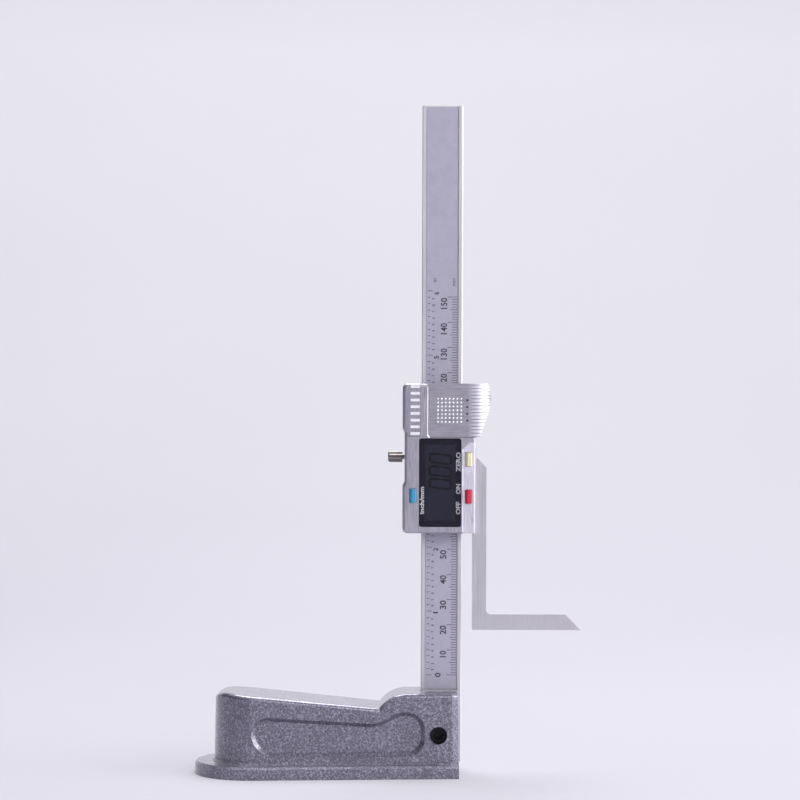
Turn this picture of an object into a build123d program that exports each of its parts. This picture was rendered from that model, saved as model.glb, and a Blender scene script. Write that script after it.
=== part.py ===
from build123d import *
import math
import os

# Digital height gauge, 0 to 150 mm. Millimetres.
# Origin: the ground underside of the base, straight below the middle of the beam.
# +X points to the measuring arm's side, +Y to the back, +Z up the beam.
# The slider's pieces are drawn from the slider's lower edge and lifted to its rest height.

# ---------------------------------------------------------------- beam and scale
BEAM_WIDTH = 16.0
BEAM_THICKNESS = 3.5
BEAM_TOP = 264.5            # above the surface plate
BEAM_EDGE_BREAK = 0.25
CHANNEL_BORDER = 1.55       # raised border left of and right of the milled channel
CHANNEL_DEPTH = 1.2
SCALE_FOOT = 33.0           # height where the channel starts, just above the base
SCALE_TOP_MARGIN = 0.5
STRIP_THICKNESS = 0.8       # etched scale board glued into the channel
LABEL_THICKNESS = 0.2
LABEL_GROOVE = 0.45         # open groove beside the label, on the arm's side
SCALE_ZERO = 39.0           # height of the scale's zero mark
READING = 57.0              # slider's reading at rest

# ---------------------------------------------------------------- base casting
BASE_REACH = 97.7           # from the beam's middle to the flange's round end
BASE_END = 7.0              # from the beam's middle to the open end
FLANGE_THICKNESS = 5.0
FLANGE_RADIUS = 22.7
FLANGE_END_WIDTH = 34.4
FLANGE_EDGE_BREAK = 0.9
BLOCK_SETBACK = 7.7         # flange showing beyond the block's round end
BLOCK_RADIUS = 15.8
BLOCK_END_WIDTH = 24.0
BLOCK_DRAFT = 1.2           # degrees
BLOCK_END_HEIGHT = 33.3     # top of the block at its round end
SADDLE_HEIGHT = 27.0        # lowest point of the sloping top
HEAD_HEIGHT = 32.7          # top around the beam
SADDLE_X = -24.5
HEAD_X = -13.3
BLOCK_NOSE_ROUND = 6.7
BLOCK_TOP_ROUND = 1.6
BLOCK_ROOT_SKIRT = 1.0      # sloping foot of the block, all round it
HEAD_CORNER_BREAK = 2.4
SLOT_FLOOR = 4.5
SLOT_CLEARANCE = 0.1
RELIEF_DEPTH = 0.8          # shallow relief that leaves a ground rim
RELIEF_RIM = 7.0
RELIEF_END_INSET = 25.0     # from the base's open end

# finger recess on both sides of the block: heights and places along X
RECESS_DEPTH = 2.4
RECESS_FLOOR_CHAMFER = 1.6
RECESS_FLOOR_Z = 8.0
RECESS_LEFT_INSET = 21.7    # round left end's middle, from the block's round end
RECESS_LEFT_Z = 17.2
RECESS_LEFT_RADIUS = 6.3
RECESS_SADDLE_X = -28.0
RECESS_TOP_FALL = 3.5       # degrees
RECESS_LOBE_X = -13.5
RECESS_LOBE_Z = 18.3
RECESS_LOBE_RADIUS = 7.2

# clamp screw that holds the beam's foot in the slot
CLAMP_SCREW_DIAMETER = 6.8
CLAMP_SCREW_LENGTH = 8.0
CLAMP_SCREW_X = -1.0
CLAMP_SCREW_Z = 16.3
CLAMP_SOCKET_FLATS = 4.0
CLAMP_SOCKET_DEPTH = 4.0

# ---------------------------------------------------------------- slider frame and arm
CASE_OVERHANG = 0.9         # case above the frame's upper end
SLIDE_CLEARANCE = 0.05
BACK_PLATE = 2.4            # frame metal behind the beam
FRONT_CLEARANCE = 0.25      # beam's face to the sensor board
GIB_THICKNESS = 1.5
GIB_WIDTH = 3.2
GIB_END_MARGIN = 1.0
GIB_BACKLASH = 0.1
LEFT_WALL = 4.3
RIGHT_WALL = 4.95
ARM_THICKNESS = 3.5
ARM_BAR_WIDTH = 5.6
ARM_BAR_OFFSET = 4.2        # beam's edge to the hanging bar
ARM_HEIGHT = 6.2
ARM_REACH = 55.4            # beam's middle to the scribing tip
ARM_INNER_ROUND = 1.8
SHOULDER_TOP = 29.2
SHOULDER_CHAMFER = 3.7
GIB_SCREW_DIAMETER = 2.0
GIB_SCREW_INSET = 12.0      # from the frame's lower and upper end
LOCK_SCREW_Z = 29.7
LOCK_STEM_DIAMETER = 2.0
LOCK_RUNNING_CLEARANCE = 0.05
LOCK_KNOB_DIAMETER = 4.4
LOCK_KNOB_LENGTH = 5.7
LOCK_NECK = 1.6             # stem showing between frame and knob
LOCK_KNURLS = 18
LOCK_KNURL_DEPTH = 0.18
LOCK_KNOB_CHAMFER = 0.5

# ---------------------------------------------------------------- electronics
SENSOR_THICKNESS = 1.0
SENSOR_MARGIN = 0.15
LCD_WIDTH = 14.6
LCD_HEIGHT = 31.8
LCD_THICKNESS = 2.0
ZEBRA_WIDTH = 2.0
ZEBRA_MARGIN = 0.8
CHIP_RADIUS = 3.6
CHIP_HEIGHT = 1.4
PORT_CONTACTS = 4
PORT_CONTACT_PITCH = 1.4
PORT_CONTACT_SIZE = 0.9
PORT_CONTACT_THICKNESS = 0.1

# ---------------------------------------------------------------- display case
CASE_HEIGHT = 58.9
CASE_DEPTH = 10.1
CASE_REAR_GAP = 0.45        # beam's face to the case's rear rim
CASE_LEFT_OVERHANG = 1.6
CASE_RIGHT_OVERHANG = 0.4
CASE_WAIST = 0.8
CASE_WAIST_Z = (18.5, 41.2)
CASE_WAIST_RAMP = 1.7
CASE_CORNER = 2.0
CASE_EDGE_ROUND = 1.2
CASE_SIDE_WALL = 1.0
CASE_FRONT_WALL = 1.5

WINDOW_LEFT = 6.5           # from the case's left edge
WINDOW_WIDTH = 16.6
WINDOW_Z = 2.6
WINDOW_HEIGHT = 34.8
WINDOW_CORNER = 1.2
WINDOW_THICKNESS = 0.9
WINDOW_RECESS = 0.1
WINDOW_LEDGE = 2.2
WINDOW_CLEARANCE = 0.05

# sloping button scoop between the window and the right edge
SCOOP_GAP = 0.4             # flat land right of the window
SCOOP_STEP = 0.4
SCOOP_SLOPE = 17.0          # degrees
SCOOP_TOP = 33.0            # where the diagonal end starts
SCOOP_DIAGONAL = 3.2
SCOOP_WALL = 1.2

# buttons: height of the middle, size and travel
BUTTON_WIDTH = 2.8
BUTTON_HEIGHT = 5.4
BUTTON_PROUD = 1.0
BUTTON_CLEARANCE = 0.12
BUTTON_FLANGE = 0.4
BUTTON_FLANGE_THICKNESS = 0.7
BUTTON_CORNER = 0.4
BUTTON_TRAVEL = 0.6
BUTTON_STEM_WIDTH = 1.6
BUTTON_REST_GAP = 0.02      # flange behind the case's wall
RIGHT_BUTTON_INSET = 2.9    # middle of the buttons from the case's right edge
LEFT_BUTTON_INSET = 4.1     # from the case's left edge
ZERO_BUTTON_Z = 29.2
POWER_BUTTON_Z = 14.5
UNIT_BUTTON_Z = 14.9
KEY_PAD_BASE = 0.8
KEY_PAD_HEIGHT = 2.0
KEY_PAD_MARGIN = 0.2

# screws from behind the frame into the case
CASE_SCREW_DIAMETER = 1.6
CASE_SCREW_HEAD = 3.2
CASE_SCREW_HEAD_HEIGHT = 0.9
CASE_SCREW_REACH = 4.0      # thread in the case's bosses
CASE_SCREW_LOW = 5.0        # above the case's lower edge
CASE_SCREW_HIGH = 4.4       # below the case's upper edge
CASE_SCREW_LEFT = 2.4       # from the frame's left face
CASE_SCREW_RIGHT = 2.6      # from the frame's right face
SMALL_SIDES = 12            # facets round each small screw, its hole and other small hidden rounds
BOSS_RADIUS = 2.0
SCREW_CLEARANCE = 0.1

# battery bay, cell and cover
CELL_DIAMETER = 11.6
CELL_THICKNESS = 5.4
CELL_CAP_DIAMETER = 9.7     # negative cap at the back
CELL_CAP_HEIGHT = 0.8
SPRING_WIDTH = 3.5
SPRING_REACH = 4.6          # from the cell's middle to the leg
CLIP_WIDTH = 4.6
CLIP_POST_WIDTH = 8.3       # plastic post that backs the clip
CONTACT_THICKNESS = 0.2
BAY_FLOOR = 0.8
BAY_WALL = 1.5
BAY_CLEARANCE = 0.3
COVER_BOTTOM = 37.9
COVER_LEFT = 10.15          # from the case's left edge
COVER_THICKNESS = 1.2
COVER_DROP = 0.4            # cover's face below the case's face
COVER_GAP = 0.15
COVER_LAND = 0.5            # cover's edge on the case beside the open bay
COVER_CORNER = 1.2
COVER_TONGUE = 0.6
COVER_TONGUE_THICKNESS = 0.5
COVER_TONGUE_ROOT = 0.5     # tongue inside the cover's own edge
RAIL_HEIGHT = 0.6
RAIL_WIDTH = 1.0
RAIL_SETBACK = 5.3          # rail's middle in front of the case's rear rim

GRIP_START = 2.7            # where the curved grip starts, from the case's right edge
GRIP_REACH = 5.9            # widest point of the grip beyond the case's right edge
GRIP_BACK_GAP = 1.1         # grip's back face in front of the case's rear rim
GRIP_SIDE_SETBACK = 3.8     # where the grip's side turns upright, in front of the rear rim
GRIP_BULGE = 0.45           # outward curve of the grip's lower half
GRIP_FOOT_REACH = 1.6
GRIP_WIDEST_DROP = 5.6      # widest point below the case's upper edge
GRIP_TOP_REACH = 4.4
GRIP_SIDE_MARGIN = 0.5      # section's side beyond the widest point
GRIP_BEND = (0.64, 0.3)     # where the face bends, as shares of its width and depth
GRIP_SIDE_LEAN = 0.25       # tangent of the lean where face and side meet
RIB_START = 0.5             # from the start of the curved grip
RIB_PITCH = 1.35
RIB_GROOVE = 0.42
RIB_DEPTH = 0.35
DIMPLE_COUNT = 4
DIMPLE_PITCH = 2.67
DIMPLE_DIAMETER = 1.0
DIMPLE_SIDES = 8
DIMPLE_DEPTH = 0.35
DIMPLE_INSET = 3.6          # from the case's right edge

# sliding cover of the data socket
PORT_BOTTOM = 38.2
PORT_WIDTH = 7.0
PORT_THICKNESS = 1.0
PORT_CLEARANCE = 0.1
PORT_LIP = 0.5
PORT_LIP_THICKNESS = 0.4
PORT_SKIN = 1.0
PORT_OPENING_HEIGHT = 6.0
PORT_OPENING_DEPTH = 2.4
PAD_PITCH = 2.63
PAD_WIDTH = 3.6
PAD_HEIGHT = 1.1
PAD_PROUD = 0.35
PAD_RIGHT_INSET = 0.3

OVERSHOOT = 1.0             # how far a cutter runs past the surface it opens
ROUND_OVERSHOOT = 10.0      # the same, for a cutter whose far corners are rounded

# ---------------------------------------------------------------- planes worked out from the sizes
beam_half = BEAM_WIDTH / 2
beam_face = -BEAM_THICKNESS / 2
beam_back = BEAM_THICKNESS / 2
slider_z = SCALE_ZERO + READING
slider_height = CASE_HEIGHT - CASE_OVERHANG
block_left = BLOCK_SETBACK - BASE_REACH

channel_back = beam_back + SLIDE_CLEARANCE
channel_right = beam_half + SLIDE_CLEARANCE
gib_right = -beam_half - SLIDE_CLEARANCE
gib_left = gib_right - GIB_THICKNESS
channel_left = gib_left - GIB_BACKLASH
frame_left = channel_left - LEFT_WALL
frame_right = channel_right + RIGHT_WALL
frame_back = channel_back + BACK_PLATE
frame_face = beam_face - FRONT_CLEARANCE
bar_left = beam_half + ARM_BAR_OFFSET
bar_right = bar_left + ARM_BAR_WIDTH
arm_bottom = -SCALE_ZERO

sensor_face = frame_face - SENSOR_THICKNESS
case_left = frame_left - CASE_LEFT_OVERHANG
case_right = frame_right + CASE_RIGHT_OVERHANG
case_rear = beam_face - CASE_REAR_GAP
case_face = case_rear - CASE_DEPTH
front_inner = case_face + CASE_FRONT_WALL
inner_left = case_left + CASE_WAIST + CASE_SIDE_WALL
inner_right = case_right - CASE_SIDE_WALL
inner_bottom = CASE_SIDE_WALL
inner_top = CASE_HEIGHT - CASE_SIDE_WALL

window_left = case_left + WINDOW_LEFT
window_right = window_left + WINDOW_WIDTH
window_top = WINDOW_Z + WINDOW_HEIGHT
window_face = case_face + WINDOW_RECESS
window_back = window_face + WINDOW_THICKNESS
window_x = (window_left + window_right) / 2
window_z = WINDOW_Z + WINDOW_HEIGHT / 2
lcd_back = front_inner + LCD_THICKNESS

scoop_left = window_right + SCOOP_GAP
scoop_fall = math.tan(math.radians(SCOOP_SLOPE))
scoop_inner = case_face + SCOOP_STEP + (inner_right - scoop_left) * scoop_fall + SCOOP_WALL
right_button_x = case_right - RIGHT_BUTTON_INSET
left_button_x = case_left + LEFT_BUTTON_INSET

cover_left = case_left + COVER_LEFT
cover_face = case_face + COVER_DROP
cover_back = cover_face + COVER_THICKNESS
bay_front = cover_back + SCREW_CLEARANCE
cell_x = cover_left + COVER_LAND + BAY_CLEARANCE + CELL_DIAMETER / 2
cell_front = cover_back + BAY_CLEARANCE
cell_back = cell_front + CELL_THICKNESS
floor_front = cell_back + CONTACT_THICKNESS
floor_back = floor_front + BAY_FLOOR
bay_left = cover_left + COVER_LAND
bay_bottom = COVER_BOTTOM + CASE_SIDE_WALL
cell_z = (bay_bottom + inner_top) / 2
wall_right = case_right - CASE_RIGHT_OVERHANG
bay_right = wall_right - CASE_SIDE_WALL
bay_partition = bay_left - BAY_WALL
display_top = COVER_BOTTOM - COVER_GAP
grip_left = wall_right + COVER_GAP
grip_back = case_rear - GRIP_BACK_GAP
rail_front = case_rear - RAIL_SETBACK - RAIL_WIDTH / 2
rail_back = rail_front + RAIL_WIDTH

port_right = case_left + PORT_WIDTH
screw_lefts = frame_left + CASE_SCREW_LEFT
screw_rights = frame_right - CASE_SCREW_RIGHT
screw_levels = (CASE_SCREW_LOW, CASE_HEIGHT - CASE_SCREW_HIGH)
screw_places = [(x, z) for x in (screw_lefts, screw_rights) for z in screw_levels]
gib_screw_levels = (GIB_SCREW_INSET, slider_height - GIB_SCREW_INSET)
port_z = (bay_bottom + screw_levels[1] - BOSS_RADIUS) / 2
port_front = case_face + PORT_THICKNESS + PORT_CLEARANCE + PORT_SKIN
port_left = case_left + PORT_THICKNESS + PORT_CLEARANCE + CASE_SIDE_WALL

# where cutters start in front of, behind and above the case
ahead = case_face - OVERSHOOT
behind = case_rear + OVERSHOOT
above = CASE_HEIGHT + OVERSHOOT


def span(x0, x1, y0, y1, z0, z1):
    """A block from one corner to the other."""
    middle = Pos((x0 + x1) / 2, (y0 + y1) / 2, (z0 + z1) / 2)
    return middle * Box(abs(x1 - x0), abs(y1 - y0), abs(z1 - z0))


def rod_x(radius, x0, x1, y, z):
    return Pos((x0 + x1) / 2, y, z) * Rot(0, 90, 0) * Cylinder(radius, abs(x1 - x0))


def rod_y(radius, y0, y1, x, z):
    return Pos(x, (y0 + y1) / 2, z) * Rot(90, 0, 0) * Cylinder(radius, abs(y1 - y0))


def push_y(outline, y0, y1):
    """Extrudes an outline drawn in (X, Z) from y0 forward to y1."""
    return Pos(0, y0, 0) * extrude(Plane.XZ * outline, y0 - y1)


def plate(x0, x1, z0, z1, radius, y0, y1):
    """A plate with rounded corners, seen from the front, from y0 forward to y1."""
    outline = Pos((x0 + x1) / 2, (z0 + z1) / 2) * RectangleRounded(x1 - x0, z1 - z0, radius)
    return push_y(outline, y0, y1)


def screw_x(diameter, x0, x1, z):
    """A small screw or its hole along X, in the middle of the beam's thickness."""
    square_to_x = Plane(origin=(x0, 0, z), x_dir=(0, 1, 0), z_dir=(1, 0, 0))
    return extrude(square_to_x * RegularPolygon(diameter / 2, SMALL_SIDES), x1 - x0)


def screw_y(diameter, y0, y1, x, z):
    """A small screw, its hole or another small round along Y, from y0 forward to y1."""
    return push_y(Pos(x, z) * RegularPolygon(diameter / 2, SMALL_SIDES), y0, y1)


def polygon(points):
    return make_face(Polyline(*points, close=True))


# ---------------------------------------------------------------- base

def foot_outline(radius, round_end_x, square_end_x, square_end_width):
    """Plan of the casting: a round end, with tangents that run to a narrower square end."""
    middle = round_end_x + radius
    half = square_end_width / 2
    reach = math.hypot(square_end_x - middle, half)
    angle = math.atan2(half, square_end_x - middle) + math.acos(radius / reach)
    x = middle + radius * math.cos(angle)
    y = radius * math.sin(angle)
    edges = ThreePointArc((x, y), (round_end_x, 0), (x, -y))
    edges += Polyline((x, -y), (square_end_x, -half), (square_end_x, half), (x, y))
    return make_face(edges)


def block_profile():
    """Side view of the block: sloping back, a shoulder that curves up, flat head round the beam."""
    slope = (SADDLE_HEIGHT - BLOCK_END_HEIGHT) / (SADDLE_X - block_left)
    far_left = block_left - OVERSHOOT
    far_right = BASE_END + OVERSHOOT
    nose_top = BLOCK_END_HEIGHT - slope * OVERSHOOT
    back = Line((far_left, nose_top), (SADDLE_X, SADDLE_HEIGHT))
    rise = TangentArc((HEAD_X, HEAD_HEIGHT), (SADDLE_X, SADDLE_HEIGHT), tangent=(-1, 0))
    head = Line((HEAD_X, HEAD_HEIGHT), (far_right, HEAD_HEIGHT))
    rest = Polyline((far_right, HEAD_HEIGHT), (far_right, 0), (far_left, 0), (far_left, nose_top))
    return make_face(back + rise + head + rest)


def recess_outline():
    """Finger recess: round left end, straight top, raised lobe below the head."""
    fall = math.radians(RECESS_TOP_FALL)
    left_x = block_left + RECESS_LEFT_INSET
    top_x = left_x + RECESS_LEFT_RADIUS * math.sin(fall)
    top_z = RECESS_LEFT_Z + RECESS_LEFT_RADIUS * math.cos(fall)
    left_top = (top_x, top_z)
    left_side = (left_x - RECESS_LEFT_RADIUS, RECESS_LEFT_Z)
    left_foot = (left_side[0] + RECESS_LEFT_Z - RECESS_FLOOR_Z, RECESS_FLOOR_Z)
    saddle = (RECESS_SADDLE_X, top_z - (RECESS_SADDLE_X - top_x) * math.tan(fall))
    lobe_top = (RECESS_LOBE_X, RECESS_LOBE_Z + RECESS_LOBE_RADIUS)
    lobe_side = (RECESS_LOBE_X + RECESS_LOBE_RADIUS, RECESS_LOBE_Z)
    lobe_low = (lobe_side[0], RECESS_FLOOR_Z + RECESS_LOBE_RADIUS)
    lobe_foot = (RECESS_LOBE_X, RECESS_FLOOR_Z)
    bend = ((saddle[0] + lobe_top[0]) / 2, (saddle[1] + lobe_top[1]) / 2)
    edges = TangentArc(left_side, left_top, tangent=(0, 1))
    edges += Line(left_top, saddle)
    edges += TangentArc(saddle, bend, tangent=(1, 0))
    edges += TangentArc(lobe_top, bend, tangent=(-1, 0))
    edges += TangentArc(lobe_top, lobe_side, tangent=(1, 0))
    edges += Line(lobe_side, lobe_low)
    edges += TangentArc(lobe_low, lobe_foot, tangent=(0, -1))
    edges += Line(lobe_foot, left_foot)
    edges += TangentArc(left_foot, left_side, tangent=(-1, 0))
    return make_face(edges)


def recess_tool():
    """Cutter for the front recess, square to the block's tapering side."""
    run = BASE_END - block_left - BLOCK_RADIUS
    rise = BLOCK_RADIUS - BLOCK_END_WIDTH / 2
    side_at_beam = -BLOCK_END_WIDTH / 2 - rise / run * BASE_END
    inward = Plane(origin=(0, 0, 0), x_dir=(1, 0, 0), z_dir=(0, 1, 0))
    upright = mirror(recess_outline(), Plane.XZ)
    tool = extrude(inward * upright, RECESS_DEPTH + OVERSHOOT)
    floor = tool.faces().sort_by(Axis.Y)[-1]
    tool = chamfer(floor.edges(), RECESS_FLOOR_CHAMFER)
    return Pos(0, side_at_beam - OVERSHOOT, 0) * Rot(0, 0, math.degrees(math.atan2(rise, run))) * tool


def base_casting():
    foot = foot_outline(FLANGE_RADIUS, -BASE_REACH, BASE_END, FLANGE_END_WIDTH)
    flange = extrude(foot, FLANGE_THICKNESS)
    rim = flange.edges().filter_by_position(Axis.Z, FLANGE_THICKNESS, FLANGE_THICKNESS).sort_by(Axis.X)[:-1]
    flange = chamfer(rim, FLANGE_EDGE_BREAK)

    plan = foot_outline(BLOCK_RADIUS, block_left, BASE_END, BLOCK_END_WIDTH)
    plan = Pos(0, 0, FLANGE_THICKNESS) * chamfer(plan.vertices().sort_by(Axis.X)[-2:], HEAD_CORNER_BREAK)
    block = extrude(plan, BLOCK_END_HEIGHT, taper=BLOCK_DRAFT)
    profile = block_profile()
    nose = profile.vertices().sort_by(Axis.X)[:2].sort_by(Axis.Y)[-1]
    block &= push_y(fillet(nose, BLOCK_NOSE_ROUND), FLANGE_RADIUS, -FLANGE_RADIUS)
    upper = block.edges().filter_by(lambda edge: edge.center().Z > SADDLE_HEIGHT - BLOCK_TOP_ROUND)
    nose_edge = upper.sort_by(Axis.X)[0]
    top_edges = upper.filter_by(lambda edge: abs(edge.center().Y) > BLOCK_END_WIDTH / 4)
    block = fillet(top_edges + [nose_edge], BLOCK_TOP_ROUND)
    skirt = extrude(offset(plan, BLOCK_ROOT_SKIRT), BLOCK_ROOT_SKIRT, taper=45)
    skirt &= extrude(foot, FLANGE_THICKNESS + BLOCK_ROOT_SKIRT)
    casting = flange + skirt + block

    tool = recess_tool()
    casting -= tool
    casting -= mirror(tool, Plane.XZ)
    slot_front = beam_face - SLOT_CLEARANCE
    slot_left = -beam_half - SLOT_CLEARANCE
    slot_top = HEAD_HEIGHT + OVERSHOOT
    casting -= span(slot_left, BASE_END + OVERSHOOT, slot_front, beam_back, SLOT_FLOOR, slot_top)
    casting -= rod_y(CLAMP_SCREW_DIAMETER / 2, slot_front, -FLANGE_RADIUS, CLAMP_SCREW_X, CLAMP_SCREW_Z)
    relief = extrude(offset(foot, -RELIEF_RIM), RELIEF_DEPTH)
    relief &= span(-BASE_REACH, BASE_END - RELIEF_END_INSET, -FLANGE_RADIUS, FLANGE_RADIUS, 0, RELIEF_DEPTH)
    return casting - relief


def clamp_screw():
    """Socket set screw that presses the beam's foot against the back of the slot."""
    tip = beam_face
    mouth = beam_face - CLAMP_SCREW_LENGTH
    screw = rod_y(CLAMP_SCREW_DIAMETER / 2, tip, mouth, CLAMP_SCREW_X, CLAMP_SCREW_Z)
    hexagon = RegularPolygon(CLAMP_SOCKET_FLATS / 2, 6, major_radius=False)
    socket = push_y(Pos(CLAMP_SCREW_X, CLAMP_SCREW_Z) * hexagon, mouth + CLAMP_SOCKET_DEPTH, mouth)
    return screw - socket


# ---------------------------------------------------------------- beam and scale

def beam():
    bar = span(-beam_half, beam_half, beam_face, beam_back, SLOT_FLOOR, BEAM_TOP)
    bar = chamfer(bar.edges().filter_by(Axis.Z), BEAM_EDGE_BREAK)
    channel_half = beam_half - CHANNEL_BORDER
    floor = beam_face + CHANNEL_DEPTH
    front = beam_face - OVERSHOOT
    return bar - span(-channel_half, channel_half, front, floor, SCALE_FOOT, BEAM_TOP + OVERSHOOT)


def scale_layer(front, back):
    """A flat layer in the beam's channel, with the open groove on the arm's side."""
    channel_half = beam_half - CHANNEL_BORDER
    left = -channel_half + SENSOR_MARGIN
    right = channel_half - LABEL_GROOVE
    return span(left, right, front, back, SCALE_FOOT + SCALE_TOP_MARGIN, BEAM_TOP - SCALE_TOP_MARGIN)


def scale_strip():
    floor = beam_face + CHANNEL_DEPTH
    return scale_layer(floor - STRIP_THICKNESS, floor)


def scale_label():
    back = beam_face + CHANNEL_DEPTH - STRIP_THICKNESS
    return scale_layer(back - LABEL_THICKNESS, back)


# ---------------------------------------------------------------- slider frame, gib and screws

def slider_frame():
    """Milled frame round the beam, in one piece with the hanging arm."""
    body = span(frame_left, frame_right, frame_face, frame_back, 0, slider_height)
    arm = polygon([
        (bar_left, arm_bottom),
        (ARM_REACH, arm_bottom),
        (ARM_REACH - ARM_HEIGHT, arm_bottom + ARM_HEIGHT),
        (bar_right, arm_bottom + ARM_HEIGHT),
        (bar_right, SHOULDER_TOP - SHOULDER_CHAMFER),
        (bar_right - SHOULDER_CHAMFER, SHOULDER_TOP),
        (bar_left, SHOULDER_TOP),
    ])
    inner_corner = arm.vertices().filter_by_position(Axis.X, bar_right, bar_right).sort_by(Axis.Y)[0]
    arm = push_y(fillet(inner_corner, ARM_INNER_ROUND), ARM_THICKNESS / 2, -ARM_THICKNESS / 2)
    frame = body + arm
    front = frame_face - OVERSHOOT
    frame -= span(channel_left, channel_right, front, channel_back, -OVERSHOOT, slider_height + OVERSHOOT)
    for x, z in screw_places:
        frame -= screw_y(CASE_SCREW_DIAMETER + 2 * SCREW_CLEARANCE, frame_back, frame_face, x, z)
        head_seat = frame_back - CASE_SCREW_HEAD_HEIGHT
        frame -= screw_y(CASE_SCREW_HEAD + 2 * SCREW_CLEARANCE, frame_back, head_seat, x, z)
    for z in gib_screw_levels:
        frame -= screw_x(GIB_SCREW_DIAMETER, frame_left, channel_left + OVERSHOOT, z)
    lock_bore = LOCK_STEM_DIAMETER / 2 + LOCK_RUNNING_CLEARANCE
    return frame - rod_x(lock_bore, frame_left - OVERSHOOT, channel_left + OVERSHOOT, 0, LOCK_SCREW_Z)


def gib_strip():
    half = GIB_WIDTH / 2
    return span(gib_left, gib_right, -half, half, GIB_END_MARGIN, slider_height - GIB_END_MARGIN)


def gib_screws():
    """Two slotted set screws that press the gib to the beam."""
    screws = []
    for z in gib_screw_levels:
        screw = screw_x(GIB_SCREW_DIAMETER, frame_left, gib_left, z)
        slot_end = frame_left + GIB_SCREW_DIAMETER / 3
        half = GIB_SCREW_DIAMETER / 10
        radius = GIB_SCREW_DIAMETER
        screws.append(screw - span(frame_left, slot_end, -half, half, z - radius, z + radius))
    return screws


def lock_screw():
    """Knurled thumb screw; its tip presses the gib when it is tightened."""
    knob_right = frame_left - LOCK_NECK
    knob_left = knob_right - LOCK_KNOB_LENGTH
    radius = LOCK_KNOB_DIAMETER / 2
    points = []
    for tooth in range(LOCK_KNURLS):
        for share, depth in ((0.0, 0.0), (0.5, LOCK_KNURL_DEPTH)):
            angle = 2 * math.pi * (tooth + share) / LOCK_KNURLS
            points.append(((radius - depth) * math.cos(angle), (radius - depth) * math.sin(angle)))
    grip = Pos(knob_left, 0, LOCK_SCREW_Z) * extrude(Plane.YZ * polygon(points), LOCK_KNOB_LENGTH)
    half_section = polygon([
        (knob_left, 0),
        (knob_left, radius - LOCK_KNOB_CHAMFER),
        (knob_left + LOCK_KNOB_CHAMFER, radius),
        (knob_right, radius),
        (knob_right, 0),
    ])
    ends = Pos(0, 0, LOCK_SCREW_Z) * revolve(Plane.XZ * half_section, Axis.X)
    tip = gib_left - LOCK_RUNNING_CLEARANCE
    stem = rod_x(LOCK_STEM_DIAMETER / 2, knob_right - OVERSHOOT, tip, 0, LOCK_SCREW_Z)
    return (grip & ends) + stem


def case_screws():
    """Four cheese-head screws from behind the frame into the case's bosses."""
    screws = []
    for x, z in screw_places:
        head = screw_y(CASE_SCREW_HEAD, frame_back, frame_back - CASE_SCREW_HEAD_HEIGHT, x, z)
        shank = screw_y(CASE_SCREW_DIAMETER, frame_back, sensor_face - CASE_SCREW_REACH, x, z)
        half = CASE_SCREW_HEAD / 10
        floor = frame_back - CASE_SCREW_HEAD_HEIGHT / 2
        slot = span(x - CASE_SCREW_HEAD, x + CASE_SCREW_HEAD, floor, frame_back, z - half, z + half)
        screws.append(head + shank - slot)
    return screws


# ---------------------------------------------------------------- electronics

def sensor_board():
    """Board on the frame's face: capacitive sensor towards the beam, display side to the front."""
    board = span(
        inner_left + SENSOR_MARGIN, bay_right - SENSOR_MARGIN, frame_face, sensor_face,
        inner_bottom + SENSOR_MARGIN, inner_top - SENSOR_MARGIN,
    )
    for x, z in screw_places:
        board -= screw_y(CASE_SCREW_DIAMETER + 2 * SCREW_CLEARANCE, frame_face, sensor_face, x, z)
    return board


def lcd_panel():
    return span(
        window_x - LCD_WIDTH / 2, window_x + LCD_WIDTH / 2, lcd_back, front_inner,
        window_z - LCD_HEIGHT / 2, window_z + LCD_HEIGHT / 2,
    )


def zebra_strips():
    """Two conductive rubber strips between the display and the board."""
    strips = []
    for side in (-1, 1):
        outer = window_x + side * LCD_WIDTH / 2
        inner = outer - side * ZEBRA_WIDTH
        strips.append(span(
            outer, inner, sensor_face, lcd_back,
            window_z - LCD_HEIGHT / 2 + ZEBRA_MARGIN, window_z + LCD_HEIGHT / 2 - ZEBRA_MARGIN,
        ))
    return strips


def chip_cover():
    """Flat drop of epoxy over the measuring chip, under the display."""
    drop = screw_y(2 * CHIP_RADIUS, sensor_face, sensor_face - CHIP_HEIGHT, window_x, window_z)
    return chamfer(drop.faces().sort_by(Axis.Y)[0].edges(), CHIP_HEIGHT / 2)


def port_contacts():
    """Gold pads of the data socket, behind the opening in the case's side."""
    left = inner_left + 2 * SENSOR_MARGIN
    pads = []
    for number in range(PORT_CONTACTS):
        z = port_z + (number - (PORT_CONTACTS - 1) / 2) * PORT_CONTACT_PITCH
        pads.append(span(
            left, left + 2 * PORT_CONTACT_SIZE, sensor_face, sensor_face - PORT_CONTACT_THICKNESS,
            z - PORT_CONTACT_SIZE / 2, z + PORT_CONTACT_SIZE / 2,
        ))
    return pads


def key_pads():
    """Silicone pads that the buttons press on the board."""
    pads = []
    keys = ((right_button_x, ZERO_BUTTON_Z), (right_button_x, POWER_BUTTON_Z), (left_button_x, UNIT_BUTTON_Z))
    for x, z in keys:
        half_x = BUTTON_WIDTH / 2 - KEY_PAD_MARGIN
        half_z = BUTTON_HEIGHT / 2 - KEY_PAD_MARGIN
        base = span(x - half_x, x + half_x, sensor_face, sensor_face - KEY_PAD_BASE, z - half_z, z + half_z)
        half_stem = BUTTON_STEM_WIDTH / 2
        post = span(
            x - half_stem, x + half_stem, sensor_face, sensor_face - KEY_PAD_HEIGHT,
            z - half_z / 2, z + half_z / 2,
        )
        pads.append(base + post)
    return pads


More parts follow.
